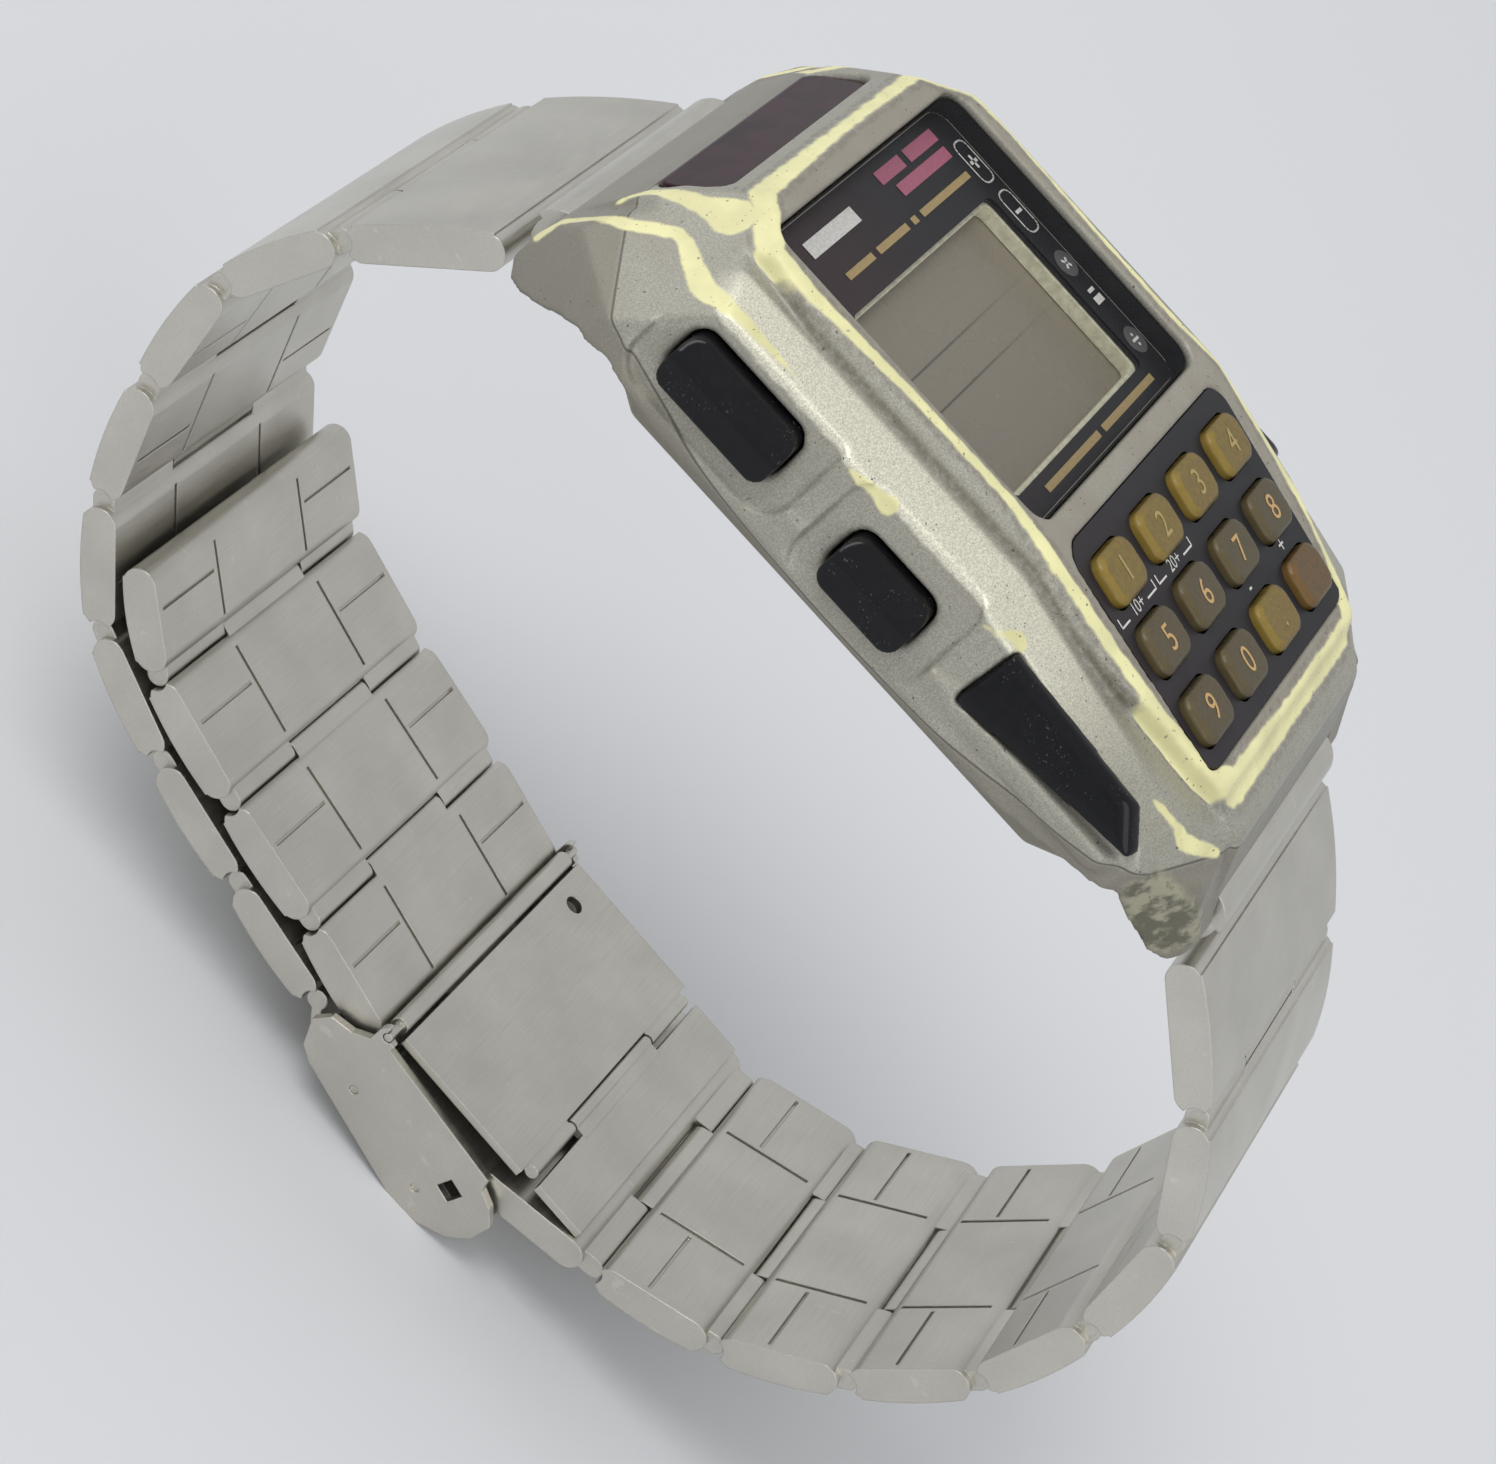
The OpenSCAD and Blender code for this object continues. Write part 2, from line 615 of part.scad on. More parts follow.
module case_back() color("gainsboro") translate([0, 0, back_level]) difference() {
    slab(back_w, back_d, back_t, back_r);
    for (x = [-1, 1], y = [-1, 1]) translate([x * screw_x, y * screw_y, 0]) {
        translate([0, 0, -1]) cylinder(r = screw_r + 0.1, h = 3);
        translate([0, 0, -1]) cylinder(r = head_r + 0.05, h = 1 + head_t + 0.05);
    }
}

module back_screws() color("silver")
    for (x = [-1, 1], y = [-1, 1]) translate([x * screw_x, y * screw_y, back_level]) difference() {
        union() {
            translate([0, 0, 0.05]) cylinder(r = head_r, h = head_t);
            translate([0, 0, 0.05]) cylinder(r = screw_r, h = 4.0);
        }
        for (a = [0, 90]) rotate(a) cube([1.1, 0.25, 0.4], center = true);
    }

module spring_bar(p) translate([0, p[0], p[1]]) rotate([0, 90, 0]) {
    cylinder(d = bar_d, h = bar_len, center = true);
    cylinder(r = bar_tip_r, h = bar_len + 2.6, center = true);
}

module spring_bars() color("silver") {
    spring_bar(bar_12);
    side_6() spring_bar(bar_6);
}

// Rolled steel end piece that fills the gap between the lugs
module end_piece(p) translate([0, p[0], p[1]]) {
    along_x(lug_gap - 0.3) intersection() {
        difference() {
            circle(end_r);
            circle(end_r - 0.4);
        }
        polygon([[0, 0], [4, 0.9], [4, 4], [-0.7, 4]]);
    }
    for (s = [-1, 1]) translate([s * (arm_w / 2 + (lug_gap - 0.3)  / 2) / 2 + s * 0.075, 0, 0])
        along_x((lug_gap - 0.3 - arm_w) / 2 - 0.15) difference() {
            circle(end_r - 0.3);
            circle(bar_d / 2 + run);
        }
}

module end_pieces() color("lightsteelblue") {
    end_piece(bar_12);
    side_6() end_piece(bar_6);
}

// Bracelet

// A folded link from hinge to hinge, drawn along +Y with its outer face up.
// The middle tongue reaches the far pin, the side barrels hold the near one.
module link_body(from, to) {
    r = link_t / 2;
    span = (to - from) / 2 - 0.5;
    bow = (span * span + link_crown * link_crown) / (2 * link_crown);
    along_x(band_w) {
        translate([from + r, 0]) circle(r);
        translate([to - r, 0]) circle(r);
        translate([from + r, -r]) square([to - from - link_t, link_t]);
        intersection() {
            translate([(from + to) / 2, r + link_crown - bow]) circle(bow, $fn = 180);
            translate([from + 0.5, 0]) square([2 * span, link_t]);
        }
    }
}

side_w = (band_w - 0.8 - knuckle_w) / 2 - side_gap;
side_x = knuckle_w / 2 + side_gap + side_w / 2;

module barrel_arm(width, at, reach, r) {
    translate([0, at, 0]) rotate([0, 90, 0]) cylinder(r = r, h = width, center = true);
    translate([0, at + reach / 2, 0]) cube([width, abs(reach), 2 * r], center = true);
}

module fold_seams(from, to)
    for (s = [-1, 1]) {
        translate([s * (knuckle_w / 2 + 0.35), (from + to) / 2, -link_t / 2])
            cube([0.25, to - from - 1.6, 0.5], center = true);
        translate([s * (side_x + 0.3), (from + to) / 2 + 0.6, -link_t / 2])
            cube([side_w - 0.6, 0.2, 0.4], center = true);
    }

module link(length) {
    r = barrel_d / 2;
    difference() {
        union() {
            difference() {
                link_body(link_gap / 2, length - link_gap / 2);
                rotate([0, 90, 0]) cylinder(r = r + 0.12, h = knuckle_w + 2 * side_gap, center = true);
                for (s = [-1, 1]) translate([s * (knuckle_w / 2 + far / 2), length, 0]) rotate([0, 90, 0])
                    cylinder(r = r + 0.12, h = far, center = true);
                fold_seams(link_gap / 2, length - link_gap / 2);
            }
            for (s = [-1, 1]) translate([s * side_x, 0, 0]) barrel_arm(side_w, 0, link_gap / 2 + 0.6, r);
            barrel_arm(knuckle_w, length, -link_gap / 2 - 0.6, r);
        }
        rotate([0, 90, 0]) cylinder(r = pin_d / 2 + 0.01, h = band_w, center = true);
        translate([0, length, 0]) rotate([0, 90, 0]) cylinder(r = pin_d / 2 + run, h = band_w, center = true);
    }
    rotate([0, 90, 0]) cylinder(d = pin_d, h = band_w - 0.8, center = true);
}

// The link next to the case: its knuckle turns on the spring bar
arm_start = 2.1;
module case_link(length) {
    r = barrel_d / 2;
    difference() {
        union() {
            difference() {
                link_body(arm_start, length - link_gap / 2);
                for (s = [-1, 1]) translate([s * (knuckle_w / 2 + far / 2), length, 0]) rotate([0, 90, 0])
                    cylinder(r = r + 0.12, h = far, center = true);
                fold_seams(arm_start, length - link_gap / 2);
            }
            translate([0, (arm_start + 1) / 2, 0]) cube([arm_w - 0.3, arm_start + 1, 1.2], center = true);
            rotate([0, 90, 0]) cylinder(r = 1.3, h = arm_w - 0.3, center = true);
            barrel_arm(knuckle_w, length, -link_gap / 2 - 0.6, r);
        }
        rotate([0, 90, 0]) cylinder(r = bar_d / 2 + run, h = band_w, center = true);
        translate([0, length, 0]) rotate([0, 90, 0]) cylinder(r = pin_d / 2 + run, h = band_w, center = true);
    }
}

module in_chain(p, dir) translate([0, p[0], p[1]]) rotate([dir, 0, 0]) children();

module link_12(i) color([0.72, 0.71, 0.66]) in_chain(hinge_12(i - 1), dirs_12[i - 1])
    if (i == 1) case_link(end_link_12); else link(link_pitch);

module link_6(i) color([0.72, 0.71, 0.66]) side_6() in_chain(hinge_6(i - 1), dirs_6[i - 1])
    if (i == 1) case_link(end_link_6); else link(link_pitch);

// Links left over after sizing lie inside the 12 o'clock half.
// They face the other way up, and the last one has no far tongue.
module tail_link(i) color([0.7, 0.69, 0.64]) in_chain(hinge_tail(i - 1), dirs_tail[i - 1])
    mirror([0, 0, 1]) if (i < 4) link(link_pitch); else last_link(link_pitch - 1.4);

module last_link(length) {
    r = barrel_d / 2;
    difference() {
        union() {
            difference() {
                link_body(link_gap / 2, length);
                rotate([0, 90, 0]) cylinder(r = r + 0.12, h = knuckle_w + 2 * side_gap, center = true);
                fold_seams(link_gap / 2, length);
            }
            for (s = [-1, 1]) translate([s * side_x, 0, 0]) barrel_arm(side_w, 0, link_gap / 2 + 0.6, r);
        }
        rotate([0, 90, 0]) cylinder(r = pin_d / 2 + 0.01, h = band_w, center = true);
    }
    rotate([0, 90, 0]) cylinder(d = pin_d, h = band_w - 0.8, center = true);
}

// Clasp

// Bar that joins the 6 o'clock half to the left over links, inside the clasp
bar_start = [-hinge_6(7)[0], hinge_6(7)[1]];
bar_bend = [-10.6, -40.25];
bar_t = 1.5;
bar_back = link_t / 2 + link_gap / 2 + 0.3;  // keeps the bar's round end off the last link
function dir_of(v) = atan2(v[1], v[0]);
bar_dir = dir_of(bar_bend - bar_start);
bar_up = dir_of(tail_start - bar_bend);
module adjuster_bar() color([0.68, 0.67, 0.62]) {
    r = barrel_d / 2;
    difference() {
        union() {
            in_chain(bar_start, bar_dir) along_x(band_w) {
                translate([bar_back, -link_t / 2]) square([norm(bar_bend - bar_start) - bar_back, link_t]);
                translate([bar_back, 0]) circle(link_t / 2);
                translate([norm(bar_bend - bar_start), 0]) circle(link_t / 2);
            }
            in_chain(bar_bend, bar_up) along_x(band_w) translate([0, -bar_t / 2])
                square([norm(tail_start - bar_bend) - 1.1, bar_t]);
            for (s = [-1, 1]) translate([s * side_x, 0, 0]) pin_arm(bar_start, bar_bend, side_w);
            pin_arm(tail_start, bar_bend, knuckle_w);
        }
        translate([0, bar_start[0], bar_start[1]]) rotate([0, 90, 0])
            cylinder(r = pin_d / 2 + 0.01, h = band_w, center = true);
        translate([0, tail_start[0], tail_start[1]]) rotate([0, 90, 0])
            cylinder(r = pin_d / 2 + run, h = band_w, center = true);
    }
    translate([0, bar_start[0], bar_start[1]]) rotate([0, 90, 0]) cylinder(d = pin_d, h = band_w - 0.8, center = true);
}

module pin_arm(p, towards, width) {
    v = towards - p;
    in_chain(p, dir_of(v)) barrel_arm(width, 0, 1.4, barrel_d / 2);
}

// Flat inner leaf of the clasp, and the lock plate hinged at its end
leaf_far = -11.2;
hook = [-1.2, -37.4];                      // pin between the cover and the leaf
hook_pin_r = 0.25;
hook_r = 0.52;
lock_hinge = [leaf_far - 0.45, leaf_z - 0.4];
lock_pin_r = 0.2;
module on_leaf() translate([0, -1.9, leaf_z]) rotate([leaf_tilt, 0, 0]) children();

module clasp_leaf() color([0.66, 0.65, 0.6]) {
    difference() {
        union() {
            on_leaf() translate([0, leaf_far / 2 + 0.95, 0]) cube([band_w, -leaf_far - 1.9, sheet_t], center = true);
            for (s = [-1, 1]) translate([s * 7.2, lock_hinge[0], lock_hinge[1]]) {
                rotate([0, 90, 0]) cylinder(r = 0.4, h = 4.6, center = true);
                translate([0, 0.4, 0]) cube([4.6, 0.8, sheet_t], center = true);
            }
        }
        translate([0, lock_hinge[0], lock_hinge[1]]) rotate([0, 90, 0])
            cylinder(r = lock_pin_r + 0.01, h = far, center = true);
        translate([7.6, -3.4, leaf_z]) cylinder(r = 0.55, h = 4, center = true);
    }
    // Rolled end and its pin, which snaps into the open hooks of the cover
    translate([0, hook[0], hook[1]]) {
        along_x(band_w - 1) difference() {
            circle(hook_r);
            circle(hook_pin_r + 0.01);
        }
        rotate([0, 90, 0]) cylinder(r = hook_pin_r, h = clasp_w - 0.1, center = true);
    }
    // Pressed feet that rest on the strap
    for (s = [-1, 1]) translate([s * 6, -4, leaf_z - sheet_t / 2 - 0.75]) cylinder(r = 0.6, h = 0.8);
    // Pin of the lock plate
    translate([0, lock_hinge[0], lock_hinge[1]]) rotate([0, 90, 0])
        cylinder(r = lock_pin_r, h = 19, center = true);
}

module lock_plate() color([0.7, 0.69, 0.64]) translate([0, lock_hinge[0], lock_hinge[1]]) {
    difference() {
        union() {
            rotate([leaf_tilt, 0, 0]) translate([0, -lock_d / 2 - 0.05, 0])
                cube([band_w - 0.6, lock_d - 1.4, sheet_t], center = true);
            rotate([0, 90, 0]) cylinder(r = 0.4, h = 9.4, center = true);
            translate([0, -0.5, 0]) cube([9.4, 1.0, sheet_t], center = true);
        }
        rotate([0, 90, 0]) cylinder(r = lock_pin_r + run, h = far, center = true);
    }
}

// Cover of the clasp: a bent channel with a snap hole in each side wall
cover_hinge = hinge_12(8);
module cover_outline()
    polygon([[1.5, -42.1], [0.6, -42.7], [-7.4, -45.0], [-9.6, -45.0], [-11.3, -44.1], [-12.2, -42.9],
             [-12.4, -41.3], [-11.6, -40.4], [-10.6, -39.9], [-10.4, -39.1], [-1.9, -37.9], [-1.2, -37.9],
             [0.3, -39.0], [1.6, -39.3], [2.2, -40.4]]);

// Hook of the cover for the leaf's pin, open towards the wrist
module cover_hook() difference() {
    union() {
        circle(0.6);
        translate([-0.6, -1.4]) square([1.2, 1.4]);
    }
    circle(hook_pin_r + run);
    polygon([[0, 0], [-1, -0.28], [-1, 1], [0.22, 1], [0.22, 0.28]]);
}

module clasp_cover() color([0.7, 0.69, 0.63]) {
    difference() {
        union() {
            along_x(clasp_w) cover_outline();
            translate([0, hook[0], hook[1]]) along_x(clasp_w) cover_hook();
        }
        // the channel for the strap, open towards the wrist and at both ends
        along_x(clasp_w - 2 * sheet_t)
            polygon([[4, -41.3], [0.4, -42.0], [-7.4, -44.3], [-9.4, -44.3], [-10.8, -43.6], [-11.7, -42.4],
                     [-14, -42.2], [-14, -36], [4, -36]]);
        for (s = [-1, 1]) translate([s * clasp_w / 2, -9.5, -41.6]) rotate([15, 0, 0])
            cube([3, catch_size, catch_size], center = true);
        for (p = [[-2.1, -41.7], [-8.2, -43.3]], s = [-1, 1])
            translate([s * clasp_w / 2, p[0], p[1]]) rotate([0, 90, 0]) cylinder(r = 0.28, h = 0.4, center = true);
        translate([0, cover_hinge[0], cover_hinge[1]]) rotate([0, 90, 0])
            cylinder(r = barrel_d / 2 + 0.12, h = band_w, center = true);
    }
    // Barrels and pin that join the cover to the last link
    for (s = [-1, 1]) translate([s * side_x, cover_hinge[0], cover_hinge[1]]) difference() {
        union() {
            rotate([0, 90, 0]) cylinder(d = barrel_d, h = side_w, center = true);
            rotate([-125, 0, 0]) translate([0, 1.1, 0]) cube([side_w, 2.2, 0.6], center = true);
        }
        rotate([0, 90, 0]) cylinder(r = pin_d / 2 + 0.01, h = band_w, center = true);
    }
    translate([0, cover_hinge[0], cover_hinge[1]]) rotate([0, 90, 0])
        cylinder(d = pin_d, h = band_w - 0.8, center = true);
}

on_back() case_shell();
on_back() front_glass();
on_back() display_mask();
on_back() lcd_panel();
on_back() lcd_frame();
on_back() infrared_window();
on_back() side_window();
on_back() keypad_plate();
on_back() key_mat();
on_back() module_frame();
on_back() circuit_board();
on_back() coin_cell();
on_back() contact_plate();
on_back() infrared_diodes();
on_back() sound_disc();
on_back() case_back();
on_back() back_screws();
on_back() spring_bars();
on_back() end_pieces();
for (i = [0:11]) on_back() key(i);
for (b = buttons) on_back() button_solid(b);
for (i = [1:8]) on_back() link_12(i);
for (i = [1:7]) on_back() link_6(i);
for (i = [1:4]) on_back() tail_link(i);
on_back() adjuster_bar();
on_back() clasp_leaf();
on_back() lock_plate();
on_back() clasp_cover();
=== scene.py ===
"""Remote control watch: materials, printed marks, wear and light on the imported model."""
import math

import bpy
from mathutils import Matrix, Vector


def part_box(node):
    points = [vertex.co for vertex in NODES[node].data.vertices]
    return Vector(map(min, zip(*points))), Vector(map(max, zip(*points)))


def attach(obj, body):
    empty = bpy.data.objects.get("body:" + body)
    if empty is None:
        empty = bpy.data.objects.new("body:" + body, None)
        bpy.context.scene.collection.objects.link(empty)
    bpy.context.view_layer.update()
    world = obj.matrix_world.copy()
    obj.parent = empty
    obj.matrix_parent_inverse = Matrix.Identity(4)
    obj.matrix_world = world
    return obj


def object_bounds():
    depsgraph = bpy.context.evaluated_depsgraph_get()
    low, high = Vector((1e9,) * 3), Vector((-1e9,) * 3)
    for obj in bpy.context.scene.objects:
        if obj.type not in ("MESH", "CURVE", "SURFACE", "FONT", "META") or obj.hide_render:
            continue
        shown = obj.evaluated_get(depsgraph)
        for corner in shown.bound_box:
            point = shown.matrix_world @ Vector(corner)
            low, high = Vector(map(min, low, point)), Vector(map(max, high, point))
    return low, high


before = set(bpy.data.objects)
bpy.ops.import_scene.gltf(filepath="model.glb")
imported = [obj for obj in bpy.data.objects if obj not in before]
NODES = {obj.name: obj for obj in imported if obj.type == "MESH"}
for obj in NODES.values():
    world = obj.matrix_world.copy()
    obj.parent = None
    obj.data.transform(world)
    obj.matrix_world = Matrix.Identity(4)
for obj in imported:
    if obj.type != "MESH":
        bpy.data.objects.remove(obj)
CAD_BOX = [list(corner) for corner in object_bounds()]
MM = 0.001

# Camera: fitted to the photograph, in the part's own frame
CAMERA_TURN = Vector((2.375, -0.958, 1.244))
CAMERA_SHIFT = Vector((12.965, -19.025, 189.422))
FRAME_SHIFT = Vector((0.0, 4.0, 10.4))
LENS = 96.24

# Sizes of the part that marks and wear follow, in millimetres
RIDGE_Z = 10.7
CREASE_Y = -4.0
TILT = math.radians(11.5)
KEY_PITCH_X = 5.3
KEY_PITCH_Y = 3.84
KEY_ROW_1 = -3.15


def make_camera():
    turn = Matrix.Rotation(CAMERA_TURN.length, 3, CAMERA_TURN.normalized())
    place = -(turn.transposed() @ CAMERA_SHIFT) + FRAME_SHIFT
    world = Matrix((turn[0], -turn[1], -turn[2])).transposed().to_4x4()
    world.translation = place * MM
    data = bpy.data.cameras.new("camera")
    data.lens = LENS
    data.sensor_width = 36.0
    data.clip_start = 0.01
    data.clip_end = 20.0
    camera = bpy.data.objects.new("camera", data)
    camera.matrix_world = world
    bpy.context.scene.collection.objects.link(camera)
    bpy.context.scene.camera = camera


# Material helpers: places and sizes are in millimetres


class Nodes:
    """Short names for building one material's node tree."""

    def __init__(self, name, base, rough, metal=0.0, **sockets):
        self.mat = bpy.data.materials.new(name)
        self.mat.use_nodes = True
        self.tree = self.mat.node_tree
        self.shader = self.tree.nodes["Principled BSDF"]
        self.set("Base Color", (*base, 1.0))
        self.set("Roughness", rough)
        self.set("Metallic", metal)
        for key, value in sockets.items():
            self.set(key.replace("_", " ").title().replace("Ior", "IOR"), value)
        place = self.node("ShaderNodeTexCoord").outputs["Object"]
        self.pos = self.vector("SCALE", place, scale=1.0 / MM)

    def set(self, socket, value):
        self.shader.inputs[socket].default_value = value

    def node(self, kind, **props):
        node = self.tree.nodes.new(kind)
        for key, value in props.items():
            setattr(node, key, value)
        return node

    def link(self, value, socket):
        if isinstance(value, bpy.types.NodeSocket):
            self.tree.links.new(value, socket)
        else:
            socket.default_value = value

    def vector(self, operation, a, b=(0.0, 0.0, 0.0), scale=1.0):
        node = self.node("ShaderNodeVectorMath", operation=operation)
        self.link(a, node.inputs[0])
        self.link(b, node.inputs[1])
        if operation == "SCALE":
            self.link(scale, node.inputs["Scale"])
        single = operation in ("DOT_PRODUCT", "LENGTH", "DISTANCE")
        return node.outputs["Value" if single else "Vector"]

    def split(self, vector):
        node = self.node("ShaderNodeSeparateXYZ")
        self.link(vector, node.inputs[0])
        return node.outputs[0], node.outputs[1], node.outputs[2]

    def join(self, x, y, z):
        node = self.node("ShaderNodeCombineXYZ")
        for i, value in enumerate((x, y, z)):
            self.link(value, node.inputs[i])
        return node.outputs[0]

    def math(self, operation, a, b=0.0, c=0.0, clamp=False):
        node = self.node("ShaderNodeMath", operation=operation, use_clamp=clamp)
        for i, value in enumerate((a, b, c)):
            self.link(value, node.inputs[i])
        return node.outputs[0]

    def times(self, *values):
        out = values[0]
        for value in values[1:]:
            out = self.math("MULTIPLY", out, value)
        return out

    def noise(self, size, detail=3.0, rough=0.55, stretch=(1.0, 1.0, 1.0)):
        """Noise with features of about size, drawn out by stretch."""
        node = self.node("ShaderNodeTexNoise")
        lengths = tuple(1.0 / (size * s) for s in stretch)
        self.link(self.vector("MULTIPLY", self.pos, lengths), node.inputs["Vector"])
        node.inputs["Scale"].default_value = 1.0
        node.inputs["Detail"].default_value = detail
        node.inputs["Roughness"].default_value = rough
        return node.outputs["Fac"]

    def ramp(self, value, low, high, out_low=0.0, out_high=1.0):
        node = self.node("ShaderNodeMapRange", interpolation_type="SMOOTHSTEP")
        for key, item in zip(("Value", "From Min", "From Max", "To Min", "To Max"),
                             (value, low, high, out_low, out_high)):
            self.link(item, node.inputs[key])
        return node.outputs[0]

    def band(self, value, low, high, soft):
        """1 between low and high, with soft edges."""
        rise = self.ramp(value, low - soft, low + soft)
        return self.times(rise, self.ramp(value, high - soft, high + soft, 1.0, 0.0))

    def mix(self, fac, a, b):
        node = self.node("ShaderNodeMix", data_type="RGBA")
        self.link(fac, node.inputs[0])
        self.link(a if isinstance(a, bpy.types.NodeSocket) else (*a, 1.0), node.inputs[6])
        self.link(b if isinstance(b, bpy.types.NodeSocket) else (*b, 1.0), node.inputs[7])
        return node.outputs[2]

    def strip(self, where, points):
        """How far inside a line with a half width: points are (x, y, z, half width)."""
        best = None
        for first, last in zip(points, points[1:]):
            start = Vector(first[:3])
            run = Vector(last[:3]) - start
            rel = self.vector("SUBTRACT", where, tuple(start))
            along = self.vector("DOT_PRODUCT", rel, tuple(run))
            share = self.math("MULTIPLY", along, 1.0 / run.length_squared, clamp=True)
            off = self.vector("SUBTRACT", rel, self.vector("SCALE", tuple(run), scale=share))
            width = self.math("MULTIPLY_ADD", share, last[3] - first[3], first[3])
            inside = self.math("SUBTRACT", width, self.vector("LENGTH", off))
            best = inside if best is None else self.math("MAXIMUM", best, inside)
        return best

    def color(self, value):
        self.link(value, self.shader.inputs["Base Color"])

    def rough(self, value):
        self.link(value, self.shader.inputs["Roughness"])

    def metal(self, value):
        self.link(value, self.shader.inputs["Metallic"])

    def bump(self, height, depth, strength=1.0, edge=0.0):
        """Relief of a depth, over edges that look rounded to a radius."""
        node = self.node("ShaderNodeBump")
        node.inputs["Distance"].default_value = depth * MM
        node.inputs["Strength"].default_value = strength
        self.link(height, node.inputs["Height"])
        if edge:
            bevel = self.node("ShaderNodeBevel", samples=6)
            bevel.inputs["Radius"].default_value = edge * MM
            self.link(bevel.outputs[0], node.inputs["Normal"])
        self.link(node.outputs[0], self.shader.inputs["Normal"])


def scaled(color, factor):
    return tuple(min(1.0, c * factor) for c in color)


STEEL = (0.60, 0.58, 0.52)
STEEL_GRAIN = 0.08
STEEL_EDGE = 0.12


def steel(name, base=STEEL, rough=0.36, drawn=(30.0, 1.0, 1.0)):
    """Brushed steel: fine drawn out grain over soft clouds, with small scratches."""
    m = Nodes(name, base, rough, 1.0)
    lines = m.noise(STEEL_GRAIN, 3.0, 0.6, drawn)
    clouds = m.noise(5.0, 2.0)
    both = m.math("ADD", m.math("MULTIPLY", lines, 0.6), m.math("MULTIPLY", clouds, 0.5))
    tone = m.mix(m.ramp(both, 0.3, 0.85), scaled(base, 0.86), scaled(base, 1.1))
    scratch = m.noise(0.12, 2.0, 0.7, (2.0, 14.0, 9.0))
    tone = m.mix(m.ramp(scratch, 0.66, 0.74, 0.0, 0.3), tone, scaled(base, 1.35))
    m.color(tone)
    m.rough(m.ramp(lines, 0.3, 0.75, rough - 0.06, rough + 0.12))
    m.bump(m.math("SUBTRACT", lines, m.times(scratch, 0.5)), 0.006, 0.5, STEEL_EDGE)
    return m.mat


def plain(name, base, rough, metal=0.0, size=0.4, depth=0.004, vary=0.15, spread=0.05, **sockets):
    """Moulded material with a faint grain."""
    m = Nodes(name, base, rough, metal, **sockets)
    grain = m.noise(size, 3.0)
    m.color(m.mix(m.ramp(grain, 0.3, 0.7), scaled(base, 1 - vary), scaled(base, 1 + vary)))
    m.rough(m.ramp(grain, 0.3, 0.7, max(0.0, rough - spread), rough + spread))
    m.bump(grain, depth, 0.4)
    return m.mat


# Worn places of the case, for x as its distance from the middle: (x, y, z, half width)
RIDGE_WEAR = [
    (0.0, 16.8, 0.0, 0.36), (9.0, 16.7, 0.0, 0.55), (12.1, 14.3, 0.0, 0.6), (12.3, 11.5, 0.0, 0.42),
    (11.9, 5.0, 0.0, 0.38), (11.8, -1.0, 0.0, 0.4), (12.3, -4.0, 0.0, 0.42), (12.1, -9.0, 0.0, 0.45),
    (11.7, -13.2, 0.0, 0.55), (10.8, -16.6, 0.0, 0.75), (9.0, -18.1, 0.0, 0.85),
    (0.0, -18.2, 0.0, 0.7)]
WINDOW_WEAR = [(10.2, 21.0, 4.9, 0.2), (9.6, 20.3, 6.1, 0.4), (10.1, 19.3, 7.5, 0.5),
               (10.4, 18.2, 8.4, 0.6), (10.7, 16.8, 9.3, 1.2)]
LUG_WEAR = [(11.4, 22.5, 1.4, 0.5), (11.5, 21.9, 3.0, 0.42), (12.1, 20.0, 5.6, 0.42),
            (12.1, 17.9, 7.4, 0.4), (12.6, 17.3, 7.7, 0.45), (13.7, 16.2, 7.8, 0.6),
            (14.7, 15.1, 8.1, 0.65), (15.3, 13.7, 8.7, 0.45), (15.3, 12.0, 8.9, 0.35),
            (15.3, 9.6, 8.9, 0.12)]
# Worn places on the side at 9 o'clock alone
NEAR_WEAR = [
    [(16.3, 4.7, 8.3, 0.2), (16.0, 2.5, 8.3, 0.55)],
    [(16.3, -4.4, 8.0, 0.1), (15.6, -6.0, 8.4, 0.5)],
    [(14.0, -15.6, 7.0, 0.2), (13.3, -18.0, 6.1, 0.5), (11.2, -19.7, 5.8, 0.3)]]
CHIPPED_LUG = [(15.4, -18.6, 4.2, 1.3), (13.0, -21.0, 2.0, 2.0)]

# Colours of the case
CREAM = (0.740, 0.702, 0.374)
CREAM_SPOT = (0.35, 0.32, 0.2)
SILVER = (0.335, 0.325, 0.275)
SILVER_CLOUD = (0.27, 0.245, 0.19)
TOP_FACE = (0.30, 0.265, 0.21)
# Painted highlight on the facet, much lighter than the silver
FACET_HIGHLIGHT = (0.68, 0.655, 0.53)
# Brown of the painted shade in the groove, and of the rim along the worn ridge
GROOVE_SHADE_AND_RIM_BROWN = (0.145, 0.128, 0.098)
FOOT = (0.17, 0.155, 0.12)
SEAM = (0.05, 0.045, 0.035)
SPECK = (0.05, 0.04, 0.03)
CHIP_DARK = (0.13, 0.125, 0.085)
CHIP_PALE = (0.36, 0.34, 0.24)

# Where the case's marks run, in millimetres: depths are taken down from the ridge
FACET_X = 13.2
FACET_DEPTH = 2.25
GROOVE_DEPTH = (0.7, 1.2)
GROOVE_X = (12.4, 13.7)
GROOVE_Y = (-14.0, 12.0)
PARTING_Z = 2.6
PARTING_BOW = 0.008
PAINT_METAL = 0.3


